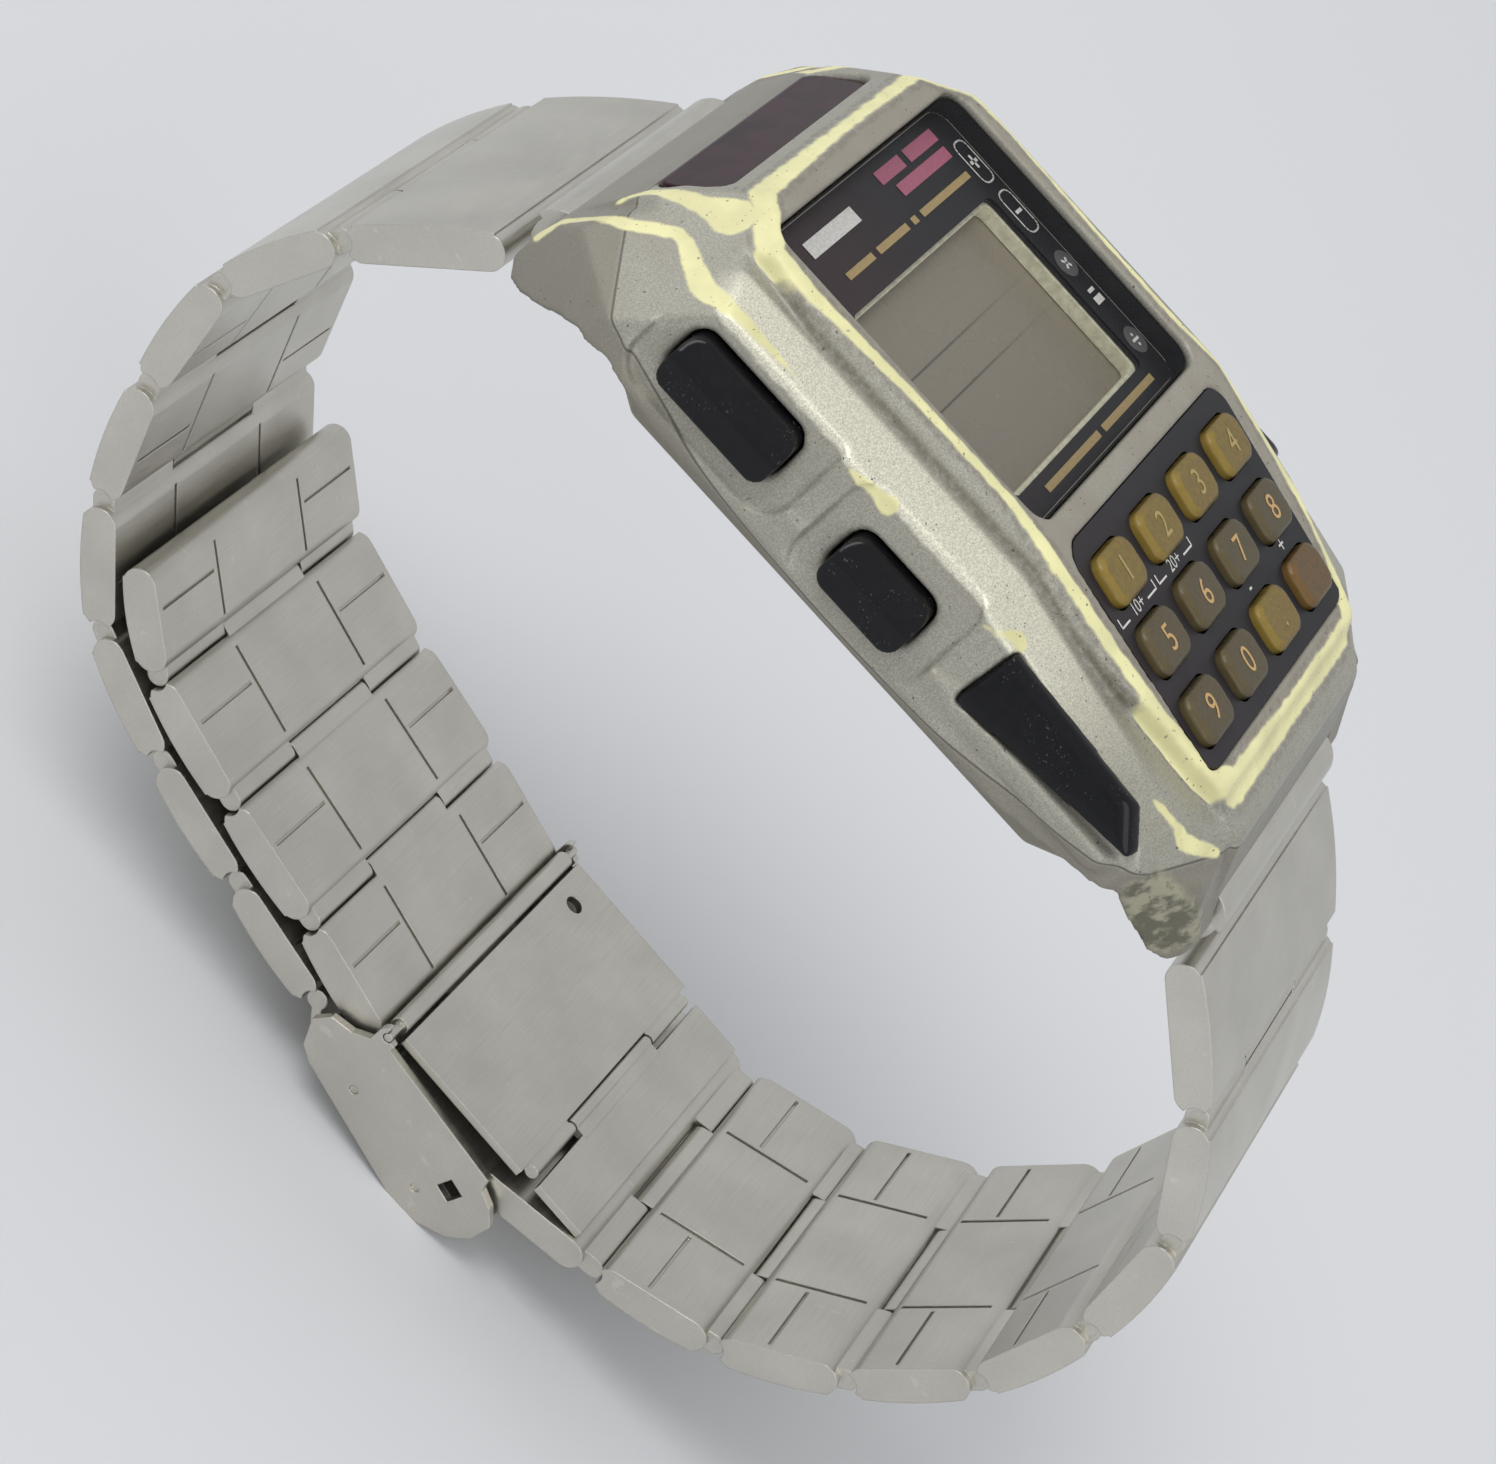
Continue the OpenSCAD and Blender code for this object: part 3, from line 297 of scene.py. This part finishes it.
class CasePaint(Nodes):
    """Silver paint with a fine sparkle, worn through to cream on the ridges."""

    def __init__(self):
        super().__init__("case_paint", SILVER, 0.42, PAINT_METAL)
        self.x, self.y, self.z = self.split(self.pos)
        self.wide = self.math("ABSOLUTE", self.x)
        self.near_side = self.join(self.math("MULTIPLY", self.x, -1.0), self.y, self.z)
        fall = self.math("MAXIMUM", self.math("SUBTRACT", CREASE_Y, self.y), 0.0)
        level = self.math("MULTIPLY_ADD", fall, math.tan(TILT), self.z)
        self.depth = self.math("SUBTRACT", RIDGE_Z, level)
        self.sparkle = self.noise(0.09, 1.0, 0.5)
        self.grain = self.noise(0.35, 3.0, 0.6)
        self.clouds = self.noise(2.5, 3.0)
        self.ragged = self.math("MULTIPLY_ADD", self.noise(0.9, 3.0, 0.5), 0.36, -0.18)
        self.patches = self.ramp(self.noise(1.4, 3.0, 0.6), 0.42, 0.58)

    def silver(self):
        """Silver with soft clouds, warmer on the top face between the ridges."""
        sparkle = self.ramp(self.sparkle, 0.35, 0.7)
        tone = self.mix(sparkle, scaled(SILVER, 0.86), scaled(SILVER, 1.2))
        tone = self.mix(self.ramp(self.clouds, 0.3, 0.75, 0.0, 0.3), tone, SILVER_CLOUD)
        top = self.times(self.ramp(self.depth, 0.12, 0.04), self.ramp(self.clouds, 0.3, 0.7, 0.35, 0.8))
        return self.mix(top, tone, TOP_FACE)

    def facet(self):
        """Share of the facet along each side, where a highlight is painted."""
        low = self.math("ADD", FACET_DEPTH, self.math("MULTIPLY", self.ragged, 1.2))
        above = self.ramp(self.depth, self.math("ADD", low, 0.25), low)
        side = self.times(self.ramp(self.wide, FACET_X, FACET_X + 0.4), above)
        return self.times(side, self.ramp(self.depth, 1.0, 1.3), self.ramp(self.y, 15.5, 13.5))

    def add_facet_highlight(self, tone, facet):
        """Painted highlight on the facet, fading towards 6 o'clock, with the paint's scratches."""
        scratches = self.ramp(self.noise(0.18, 2.0, 0.7, (0.6, 8.0, 8.0)), 0.6, 0.7)
        sparkle = self.ramp(self.sparkle, 0.3, 0.7)
        highlight = self.mix(sparkle, scaled(FACET_HIGHLIGHT, 0.84), scaled(FACET_HIGHLIGHT, 1.18))
        highlight = self.mix(self.times(scratches, 0.25), highlight, scaled(FACET_HIGHLIGHT, 0.65))
        # Painted highlight: the facet's colour is lightened, less so towards 6 o'clock
        return self.mix(self.times(facet, self.ramp(self.y, -16.0, -6.0, 0.15, 1.0)), tone, highlight)

    def add_groove_shade_and_foot(self, tone):
        """Painted shade in the groove beside the ridge, and the darker foot below the parting line."""
        groove = self.times(self.band(self.depth, *GROOVE_DEPTH, 0.15),
                            self.band(self.wide, *GROOVE_X, 0.2),
                            self.band(self.y, *GROOVE_Y, 2.5))
        # Painted shade: the groove beside the ridge darkens to brown
        tone = self.mix(self.times(groove, self.ramp(self.grain, 0.3, 0.6, 0.35, 0.75)), tone, GROOVE_SHADE_AND_RIM_BROWN)
        parting = self.math("MULTIPLY_ADD", self.math("MULTIPLY", self.y, self.y), PARTING_BOW, PARTING_Z)
        below = self.math("SUBTRACT", parting, self.z)
        tone = self.mix(self.times(self.ramp(below, -0.15, 0.25), 0.6), tone, FOOT)
        return self.mix(self.times(self.band(below, -0.05, 0.05, 0.04), 0.75), tone, SEAM)

    def ridge(self):
        """How far inside the worn line along the ridge, thinner towards 3 o'clock."""
        inside = self.strip(self.join(self.wide, self.y, 0.0), RIDGE_WEAR)
        inside = self.math("SUBTRACT", inside, self.ramp(self.x, -2.0, 8.0, 0.0, 0.12))
        return self.math("SUBTRACT", inside, self.ramp(self.depth, 1.0, 1.6, 0.0, 3.0))

    def wear(self, ridge):
        """Share of the places where the paint is worn through."""
        mirrored = self.join(self.wide, self.y, self.z)
        worn = self.math("MAXIMUM", ridge, self.strip(mirrored, WINDOW_WEAR))
        worn = self.math("MAXIMUM", worn, self.strip(mirrored, LUG_WEAR))
        for line in NEAR_WEAR:
            worn = self.math("MAXIMUM", worn, self.strip(self.near_side, line))
        return self.ramp(self.math("ADD", worn, self.ragged), -0.04, 0.16)

    def add_wear(self, tone, ridge, worn):
        """Cream under the worn paint, with a brown rim along the ridge."""
        rim = self.band(self.math("ADD", ridge, self.ragged), -0.35, -0.02, 0.15)
        tone = self.mix(self.times(rim, self.ramp(self.grain, 0.35, 0.6, 0.0, 0.4)), tone, GROOVE_SHADE_AND_RIM_BROWN)
        cream = self.mix(self.ramp(self.clouds, 0.3, 0.7), scaled(CREAM, 0.93), scaled(CREAM, 1.1))
        cream = self.mix(self.ramp(self.noise(0.25, 2.0), 0.68, 0.74), cream, CREAM_SPOT)
        return self.mix(worn, tone, cream)

    def add_chips(self, tone):
        """Chipped lug at 6 o'clock, and specks all over."""
        chipped = self.strip(self.near_side, CHIPPED_LUG)
        chipped = self.math("ADD", chipped, self.math("MULTIPLY", self.ragged, 2.5))
        chipped = self.ramp(chipped, -0.3, 0.5)
        tone = self.mix(chipped, tone, self.mix(self.patches, CHIP_DARK, CHIP_PALE))
        specks = self.ramp(self.noise(0.22, 1.0, 0.4), 0.74, 0.78)
        return self.mix(self.times(specks, 0.8), tone, SPECK)

    def relief(self):
        """Height of the grain and the sparkle, with chips out of the lug at 6 o'clock."""
        grain = self.math("MULTIPLY_ADD", self.grain, 0.6, self.times(self.sparkle, 0.5))
        chips = self.times(self.ramp(self.y, -17.5, -20.0), self.patches, 5.0)
        return self.math("SUBTRACT", grain, chips)


def case_paint():
    """The case's paint, from silver through the painted highlight on the facet, the painted shade in the
    groove and wear to chips.
    """
    m = CasePaint()
    facet = m.facet()
    ridge = m.ridge()
    worn = m.wear(ridge)
    tone = m.add_groove_shade_and_foot(m.add_facet_highlight(m.silver(), facet))
    m.color(m.add_chips(m.add_wear(tone, ridge, worn)))
    bare = m.times(worn, PAINT_METAL)
    m.metal(m.math("SUBTRACT", m.math("MULTIPLY_ADD", facet, 0.25, PAINT_METAL), bare, clamp=True))
    m.rough(m.ramp(m.sparkle, 0.35, 0.7, 0.38, 0.5))
    m.bump(m.relief(), 0.02, 0.5, 0.2)
    return m.mat


GLOSS_DARK = (0.003, 0.003, 0.004)
GLOSS_PALE = (0.007, 0.007, 0.008)
GLOSS_RUBBED = (0.11, 0.11, 0.1)


def black_gloss():
    """Gloss black plastic of the buttons, with rubbed specks."""
    m = Nodes("black_gloss", (0.005, 0.005, 0.006), 0.1, specular_ior_level=0.25)
    grain = m.noise(0.5, 3.0)
    rubbed = m.times(m.ramp(m.noise(0.14, 3.0, 0.7), 0.62, 0.7), m.ramp(m.noise(1.6, 2.0), 0.5, 0.6))
    m.color(m.mix(rubbed, m.mix(grain, GLOSS_DARK, GLOSS_PALE), GLOSS_RUBBED))
    m.rough(m.math("ADD", m.ramp(grain, 0.3, 0.7, 0.07, 0.14), m.times(rubbed, 0.3)))
    m.bump(grain, 0.01, 0.25, 0.15)
    return m.mat


PRINT_BLACK = (0.016, 0.016, 0.018)
PRINT_PALE = (0.019, 0.019, 0.021)
PRINT_PLUM = (0.046, 0.027, 0.029)


def black_print():
    """Printed black with a plum tint towards 12 o'clock on the left."""
    m = Nodes("black_print", PRINT_PALE, 0.35, specular_ior_level=0.15)
    x, y, _ = m.split(m.pos)
    tint = m.times(m.ramp(x, 6.0, -11.0), m.ramp(y, 0.0, 12.0, 0.3, 1.0))
    speck = m.noise(1.5, 3.0)
    tone = m.mix(m.ramp(speck, 0.3, 0.7), PRINT_BLACK, PRINT_PALE)
    m.color(m.mix(m.times(tint, 0.8), tone, PRINT_PLUM))
    m.rough(m.ramp(speck, 0.3, 0.7, 0.32, 0.42))
    m.bump(speck, 0.0008, 0.2)
    return m.mat


DISPLAY = (0.272, 0.238, 0.180)
# Painted shade across the display, darker towards 6 o'clock
DISPLAY_SHADE = (0.19, 0.163, 0.13)
DISPLAY_LINE = (0.06, 0.06, 0.052)
DISPLAY_DUST = (0.5, 0.5, 0.48)
DISPLAY_LINES_Y = (5.8, 3.8)


def display():
    """Grey display with painted shade towards 6 o'clock, two faint lines and some dust."""
    m = Nodes("display", DISPLAY, 0.3)
    x, y, _ = m.split(m.pos)
    speck = m.noise(2.5, 3.0)
    tone = m.mix(m.ramp(speck, 0.3, 0.7), scaled(DISPLAY, 0.985), scaled(DISPLAY, 1.015))
    # Painted shade: the display darkens towards 6 o'clock
    tone = m.mix(m.ramp(y, 9.0, -2.0, 0.0, 0.35), tone, DISPLAY_SHADE)
    for line_y in DISPLAY_LINES_Y:
        line = m.band(y, line_y - 0.05, line_y + 0.05, 0.05)
        tone = m.mix(m.times(line, m.ramp(x, 8.0, -4.0, 0.1, 0.95)), tone, DISPLAY_LINE)
    dust = m.ramp(m.noise(0.2, 1.0, 0.4), 0.76, 0.8)
    m.color(m.mix(m.times(dust, 0.5), tone, DISPLAY_DUST))
    m.rough(m.ramp(speck, 0.3, 0.7, 0.25, 0.35))
    m.bump(speck, 0.0005, 0.2)
    return m.mat


def key_cap(name, base, deep):
    """Translucent key: deeper in tone towards its sides."""
    m = Nodes(name, base, 0.3, specular_ior_level=0.3)
    facing = m.node("ShaderNodeLayerWeight").outputs["Facing"]
    grain = m.noise(0.3, 3.0)
    tone = m.mix(m.ramp(facing, 0.2, 0.75), base, deep)
    m.color(m.mix(m.ramp(grain, 0.35, 0.7, 0.0, 0.25), tone, scaled(base, 1.3)))
    m.rough(m.ramp(grain, 0.3, 0.7, 0.26, 0.38))
    m.bump(grain, 0.006, 0.4)
    return m.mat


def dress(material, names):
    for name in names:
        obj = NODES[name]
        obj.data.materials.clear()
        obj.data.materials.append(material)


def soften(names, voxel, rounds):
    """Rounds a moulded piece's edges by a fine remesh."""
    for name in names:
        obj = NODES[name]
        weld = obj.modifiers.new("weld", "WELD")
        weld.merge_threshold = 1e-6
        remesh = obj.modifiers.new("remesh", "REMESH")
        remesh.mode = "VOXEL"
        remesh.voxel_size = voxel * MM
        remesh.use_smooth_shade = True
        smooth = obj.modifiers.new("smooth", "SMOOTH")
        smooth.factor = 0.5
        smooth.iterations = rounds


def shrink(names, gap):
    """Keeps a clear piece's faces apart from the faces that it touches."""
    for name in names:
        obj = NODES[name]
        weld = obj.modifiers.new("weld", "WELD")
        weld.merge_threshold = 1e-6
        inset = obj.modifiers.new("inset", "DISPLACE")
        inset.mid_level = 0.0
        inset.strength = -gap * MM


make_camera()

STEEL_NODES = [name for name in NODES if name.startswith(("link_", "tail_"))]
STEEL_NODES += ["end_pieces", "adjuster_bar", "clasp_leaf", "lock_plate", "clasp_cover"]
KEYS = ["key_1", "key_2", "key_3", "key_4", "key_5", "key_6", "key_7", "key_8", "key_9",
        "key_0", "key_point", "key_enter"]
BUTTONS = [name for name in NODES if name.startswith("button_")]
AMBER = (0.235, 0.160, 0.032)
SMOKE = (0.102, 0.078, 0.036)
RUST = (0.155, 0.088, 0.026)

dress(case_paint(), ["case_shell"])
dress(steel("bracelet_steel"), STEEL_NODES)
dress(steel("plain_steel", (0.62, 0.62, 0.6), 0.28, (4.0, 4.0, 4.0)),
      ["spring_bars", "back_screws", "coin_cell", "contact_plate"])
dress(steel("back_steel", (0.56, 0.55, 0.52), 0.35, (12.0, 1.0, 1.0)), ["case_back"])
dress(black_gloss(), BUTTONS + ["side_window"])
dress(plain("plum_window", (0.022, 0.0035, 0.007), 0.15, size=1.5, vary=0.3, specular_ior_level=0.18),
      ["infrared_window"])
PRINT = black_print()
dress(PRINT, ["display_mask", "keypad_plate"])
dress(key_cap("key_amber", AMBER, scaled(AMBER, 0.45)), KEYS[:4] + ["key_point"])
dress(key_cap("key_smoke", SMOKE, scaled(SMOKE, 0.5)), KEYS[4:10])
dress(key_cap("key_rust", RUST, scaled(RUST, 0.45)), ["key_enter"])
dress(display(), ["lcd_panel"])
dress(plain("cream_frame", (0.78, 0.75, 0.55), 0.45), ["lcd_frame"])
dress(plain("module_grey", (0.1, 0.11, 0.12), 0.6), ["module_frame"])
dress(plain("board_green", (0.02, 0.12, 0.05), 0.45), ["circuit_board"])
dress(plain("rubber", (0.5, 0.5, 0.46), 0.8), ["key_mat"])
dress(plain("diode_lens", (0.06, 0.04, 0.09), 0.1), ["infrared_diodes"])
dress(plain("sound_brass", (0.6, 0.42, 0.15), 0.3, 1.0), ["sound_disc"])
dress(plain("front_glass", (0.02, 0.02, 0.02), 0.02, size=3.0, depth=0.0002, spread=0.01, alpha=0.1),
      ["front_glass"])

# Rounding of moulded pieces: their names, the remesh's grain in millimetres and the smoothing rounds
SOFT = ((["case_shell"], 0.13, 16),
        (KEYS, 0.07, 8),
        (BUTTONS, 0.09, 5),
        (["infrared_window"], 0.1, 12),
        (["side_window"], 0.1, 60))
for names, voxel, rounds in SOFT:
    soften(names, voxel, rounds)
shrink(["front_glass"], 0.02)

# Printed marks: flat pieces on a plane, in millimetres


def bar(x, y, width, height, turn=0.0):
    corners = [(-width / 2, -height / 2), (width / 2, -height / 2), (width / 2, height / 2),
               (-width / 2, height / 2)]
    c, s = math.cos(turn), math.sin(turn)
    return [(x + c * u - s * v, y + s * u + c * v) for u, v in corners]


def disc(x, y, radius, count=28):
    angles = [2 * math.pi * i / count for i in range(count)]
    return [(x + radius * math.cos(angle), y + radius * math.sin(angle)) for angle in angles]


def rounded(x, y, width, height, radius, steps=6):
    points = []
    for corner, (sx, sy) in enumerate(((1, 1), (-1, 1), (-1, -1), (1, -1))):
        for i in range(steps + 1):
            angle = math.pi / 2 * (corner + i / steps)
            points.append((x + sx * (width / 2 - radius) + radius * math.cos(angle),
                           y + sy * (height / 2 - radius) + radius * math.sin(angle)))
    return points


def outline(points, line):
    """Thin quads along a closed line of points."""
    quads = []
    for (x0, y0), (x1, y1) in zip(points, points[1:] + points[:1]):
        length = math.hypot(x1 - x0, y1 - y0)
        quads.append(bar((x0 + x1) / 2, (y0 + y1) / 2, length + line * 0.6, line,
                         math.atan2(y1 - y0, x1 - x0)))
    return quads


# Planes of the marks, and the black border under the glass, in millimetres
MARK_LIFT = 0.06
ON_GLASS = Matrix.Translation((0, 0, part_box("front_glass")[0][2] + MARK_LIFT * MM))
ON_KEYPAD = Matrix.Translation((0, CREASE_Y * MM, RIDGE_Z * MM)) @ Matrix.Rotation(TILT, 4, "X")
BORDER_INSET = 0.08
BORDER_LAP = 0.35
BORDER_CORNER = 1.2
BORDER_TOP = 0.06
BORDER_LIFT = 0.03
WINDOW_CORNER = 0.5


def add_mesh(name, points, faces, material, body):
    data = bpy.data.meshes.new(name)
    data.from_pydata(points, [], faces)
    obj = bpy.data.objects.new(name, data)
    data.materials.append(material)
    bpy.context.scene.collection.objects.link(obj)
    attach(obj, body)


def print_mark(name, shapes, plane, height, material):
    points, faces = [], []
    for shape in shapes:
        faces.append(list(range(len(points), len(points) + len(shape))))
        points += [tuple(plane @ Vector((x * MM, y * MM, height * MM))) for x, y in shape]
    add_mesh(name, points, faces, material, "case")


def print_text(name, text, x, y, size, plane, height, material, body):
    data = bpy.data.curves.new(name, "FONT")
    data.body = text
    data.size = size * MM
    data.align_x = "CENTER"
    data.align_y = "CENTER"
    data.materials.append(material)
    obj = bpy.data.objects.new(name, data)
    obj.matrix_world = plane @ Matrix.Translation((x * MM, y * MM, height * MM))
    bpy.context.scene.collection.objects.link(obj)
    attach(obj, body)


def ink(name, color):
    return plain(name, color, 0.5, size=0.15, depth=0.002, vary=0.12)


WHITE_INK = ink("white_ink", (0.62, 0.60, 0.56))
PINK_INK = ink("pink_ink", (0.36, 0.10, 0.16))
GOLD_INK = ink("gold_ink", (0.36, 0.26, 0.11))
DIGIT_INK = ink("digit_ink", (0.50, 0.31, 0.12))
PALE_DIGIT_INK = ink("pale_digit_ink", (0.36, 0.26, 0.09))
GREY_INK = ink("grey_ink", (0.085, 0.085, 0.085))


def make_glass_print():
    """Black border under the glass, turned up along its edge, open over the display."""
    low, high = [Vector(corner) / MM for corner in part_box("front_glass")]
    window_low, window_high = [Vector(corner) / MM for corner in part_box("lcd_panel")]
    middle = (low + high) / 2
    size = high - low
    view = (window_low + window_high) / 2
    view_size = window_high - window_low
    outer = rounded(middle.x, middle.y, size.x - 2 * BORDER_INSET, size.y - 2 * BORDER_INSET, BORDER_CORNER)
    inner = rounded(view.x, view.y, view_size.x - 2 * BORDER_LAP, view_size.y - 2 * BORDER_LAP,
                    WINDOW_CORNER)
    count = len(outer)
    top = high.z - BORDER_TOP
    bottom = low.z + BORDER_LIFT
    points = []
    for ring, z in ((outer, top), (outer, bottom), (inner, bottom)):
        points += [(x * MM, y * MM, z * MM) for x, y in ring]
    faces = []
    for ring in range(2):
        first = ring * count
        for i in range(count):
            j = (i + 1) % count
            faces.append((first + i, first + j, first + count + j, first + count + i))
    add_mesh("glass_print", points, faces, PRINT, "case")


def words(x, y, height, lengths, gap=0.6):
    """A printed line as dashes of the lengths, about its middle."""
    start = x - (sum(lengths) + gap * (len(lengths) - 1)) / 2
    bars = []
    for length in lengths:
        bars.append(bar(start + length / 2, y, length, height))
        start += length + gap
    return bars


# Lines under the glass, in millimetres: place, height and the lengths of their dashes
TITLE = (-5.0, 13.35, 0.9, (5.6,))
PINK_LINES = ((5.2, 13.9, 0.75, (3.0, 3.6)), (5.6, 12.8, 0.7, (6.2,)))
GOLD_LINES = ((1.0, 11.3, 0.4, (3.1, 3.7, 0.6, 6.2)), (1.2, -2.15, 0.4, (7.2, 7.2)))

# Column of signs beside the display, in millimetres
SIGNS_X = 10.0
PLUS_Y = 11.6
MINUS_Y = 8.3
TIMES_Y = 4.8
DIVIDE_Y = -0.3
SIGN_RUN = 0.75
SIGN_LINE = 0.16
ROUND_KEY = 0.8
DOT = 0.1


def tall_key(y):
    return outline(rounded(SIGNS_X, y, 1.25, 2.6, 0.45, 3), 0.1)


def make_glass_marks():
    print_mark("mark_title", words(*TITLE), ON_GLASS, 0, WHITE_INK)
    for name, lines, material in (("mark_pink_lines", PINK_LINES, PINK_INK),
                                  ("mark_gold_lines", GOLD_LINES, GOLD_INK)):
        bars = [dash for line in lines for dash in words(*line)]
        print_mark(name, bars, ON_GLASS, 0, material)
    signs = [bar(SIGNS_X, PLUS_Y, 0.8, 0.2), bar(SIGNS_X, PLUS_Y, 0.2, 0.8),
             bar(SIGNS_X, MINUS_Y, 0.7, 0.2)]
    print_mark("mark_plus_minus", tall_key(PLUS_Y) + tall_key(MINUS_Y) + signs, ON_GLASS, 0, WHITE_INK)
    round_keys = [disc(SIGNS_X, y, ROUND_KEY) for y in (TIMES_Y, DIVIDE_Y)]
    print_mark("mark_round_keys", round_keys, ON_GLASS, 0, GREY_INK)
    turn = math.pi / 4
    times = [bar(SIGNS_X, TIMES_Y, SIGN_RUN, SIGN_LINE, angle) for angle in (turn, -turn)]
    divide = [bar(SIGNS_X, DIVIDE_Y, SIGN_RUN, SIGN_LINE)]
    divide += [disc(SIGNS_X, DIVIDE_Y + side * 0.3, DOT, 12) for side in (1, -1)]
    between = [bar(SIGNS_X, 3.0, 0.7, 0.22), bar(SIGNS_X, 2.4, 0.9, 0.45)]
    print_mark("mark_times_divide", times + divide + between, ON_GLASS, 0.02, WHITE_INK)


# Prints of the keypad, in millimetres: name, place and text
BRACKETS = (("mark_ten", -10.3, "10+"), ("mark_twenty", -5.1, "20+"))
BRACKET_RUN = 4.7
KEY_SIGNS = (("mark_minus", 2.4, "-"), ("mark_plus", 7.6, "+"))
PLATE_PRINT = -0.085
DIGIT_SIZE = 1.9
DIGIT_HEIGHT = 0.47


def make_keypad_marks():
    row = KEY_ROW_1 - KEY_PITCH_Y / 2 + 0.12
    for name, start, text in BRACKETS:
        end = start + BRACKET_RUN
        print_text(name, text, (start + end) / 2, row, 0.95, ON_KEYPAD, PLATE_PRINT, WHITE_INK, "case")
        arms = [bar(start + 0.5, row - 0.15, 1.0, 0.1), bar(end - 0.6, row - 0.15, 1.2, 0.1),
                bar(start, row + 0.08, 0.1, 0.5), bar(end, row + 0.08, 0.1, 0.5)]
        print_mark(name + "_bracket", arms, ON_KEYPAD, PLATE_PRINT, WHITE_INK)
    for name, x, text in KEY_SIGNS:
        print_text(name, text, x, row - KEY_PITCH_Y, 1.3, ON_KEYPAD, PLATE_PRINT, WHITE_INK, "case")


def make_digits():
    for i, name in enumerate(KEYS[:11]):
        x = (i % 4 - 1.5) * KEY_PITCH_X
        y = KEY_ROW_1 - i // 4 * KEY_PITCH_Y
        text = "." if name == "key_point" else name[-1]
        amber = i < 4 or name == "key_point"
        material = PALE_DIGIT_INK if amber else DIGIT_INK
        print_text("digit_" + name, text, x, y, DIGIT_SIZE, ON_KEYPAD, DIGIT_HEIGHT, material, name)


make_glass_print()
make_glass_marks()
make_keypad_marks()
make_digits()

# Floor, sky and lamps, in metres: a lamp has its name, place, size and power
FLOOR_Z = CAD_BOX[0][2]
FLOOR_HALF = 3.0
FLOOR_COLOR = (0.66, 0.665, 0.68)
SKY_COLOR = (0.95, 0.97, 1.0, 1.0)
SKY_STRENGTH = 0.7
LAMP_TARGET = Vector((0.0, 0.0, -0.01))
LAMPS = (("key", (-0.25, 0.35, 0.75), 0.5, 2.8),
         ("fill", (-0.6, -0.45, 0.35), 0.6, 1.3),
         ("rim", (0.1, 0.7, 0.45), 0.5, 0.7))


def make_stage():
    half = FLOOR_HALF
    data = bpy.data.meshes.new("floor")
    data.from_pydata([(-half, -half, FLOOR_Z), (half, -half, FLOOR_Z), (half, half, FLOOR_Z),
                      (-half, half, FLOOR_Z)], [], [(0, 1, 2, 3)])
    floor = bpy.data.objects.new("floor", data)
    bpy.context.scene.collection.objects.link(floor)
    data.materials.append(Nodes("floor", FLOOR_COLOR, 0.6).mat)

    world = bpy.data.worlds.new("world")
    world.use_nodes = True
    bpy.context.scene.world = world
    sky = world.node_tree.nodes["Background"]
    sky.inputs["Color"].default_value = SKY_COLOR
    sky.inputs["Strength"].default_value = SKY_STRENGTH


def make_lamp(name, place, size, power):
    data = bpy.data.lights.new(name, "AREA")
    data.shape = "DISK"
    data.size = size
    data.energy = power
    obj = bpy.data.objects.new(name, data)
    obj.location = place
    obj.rotation_mode = "QUATERNION"
    obj.rotation_quaternion = (LAMP_TARGET - Vector(place)).to_track_quat("-Z", "Y")
    bpy.context.scene.collection.objects.link(obj)


make_stage()
for lamp in LAMPS:
    make_lamp(*lamp)

bpy.context.scene.view_settings.view_transform = "Standard"
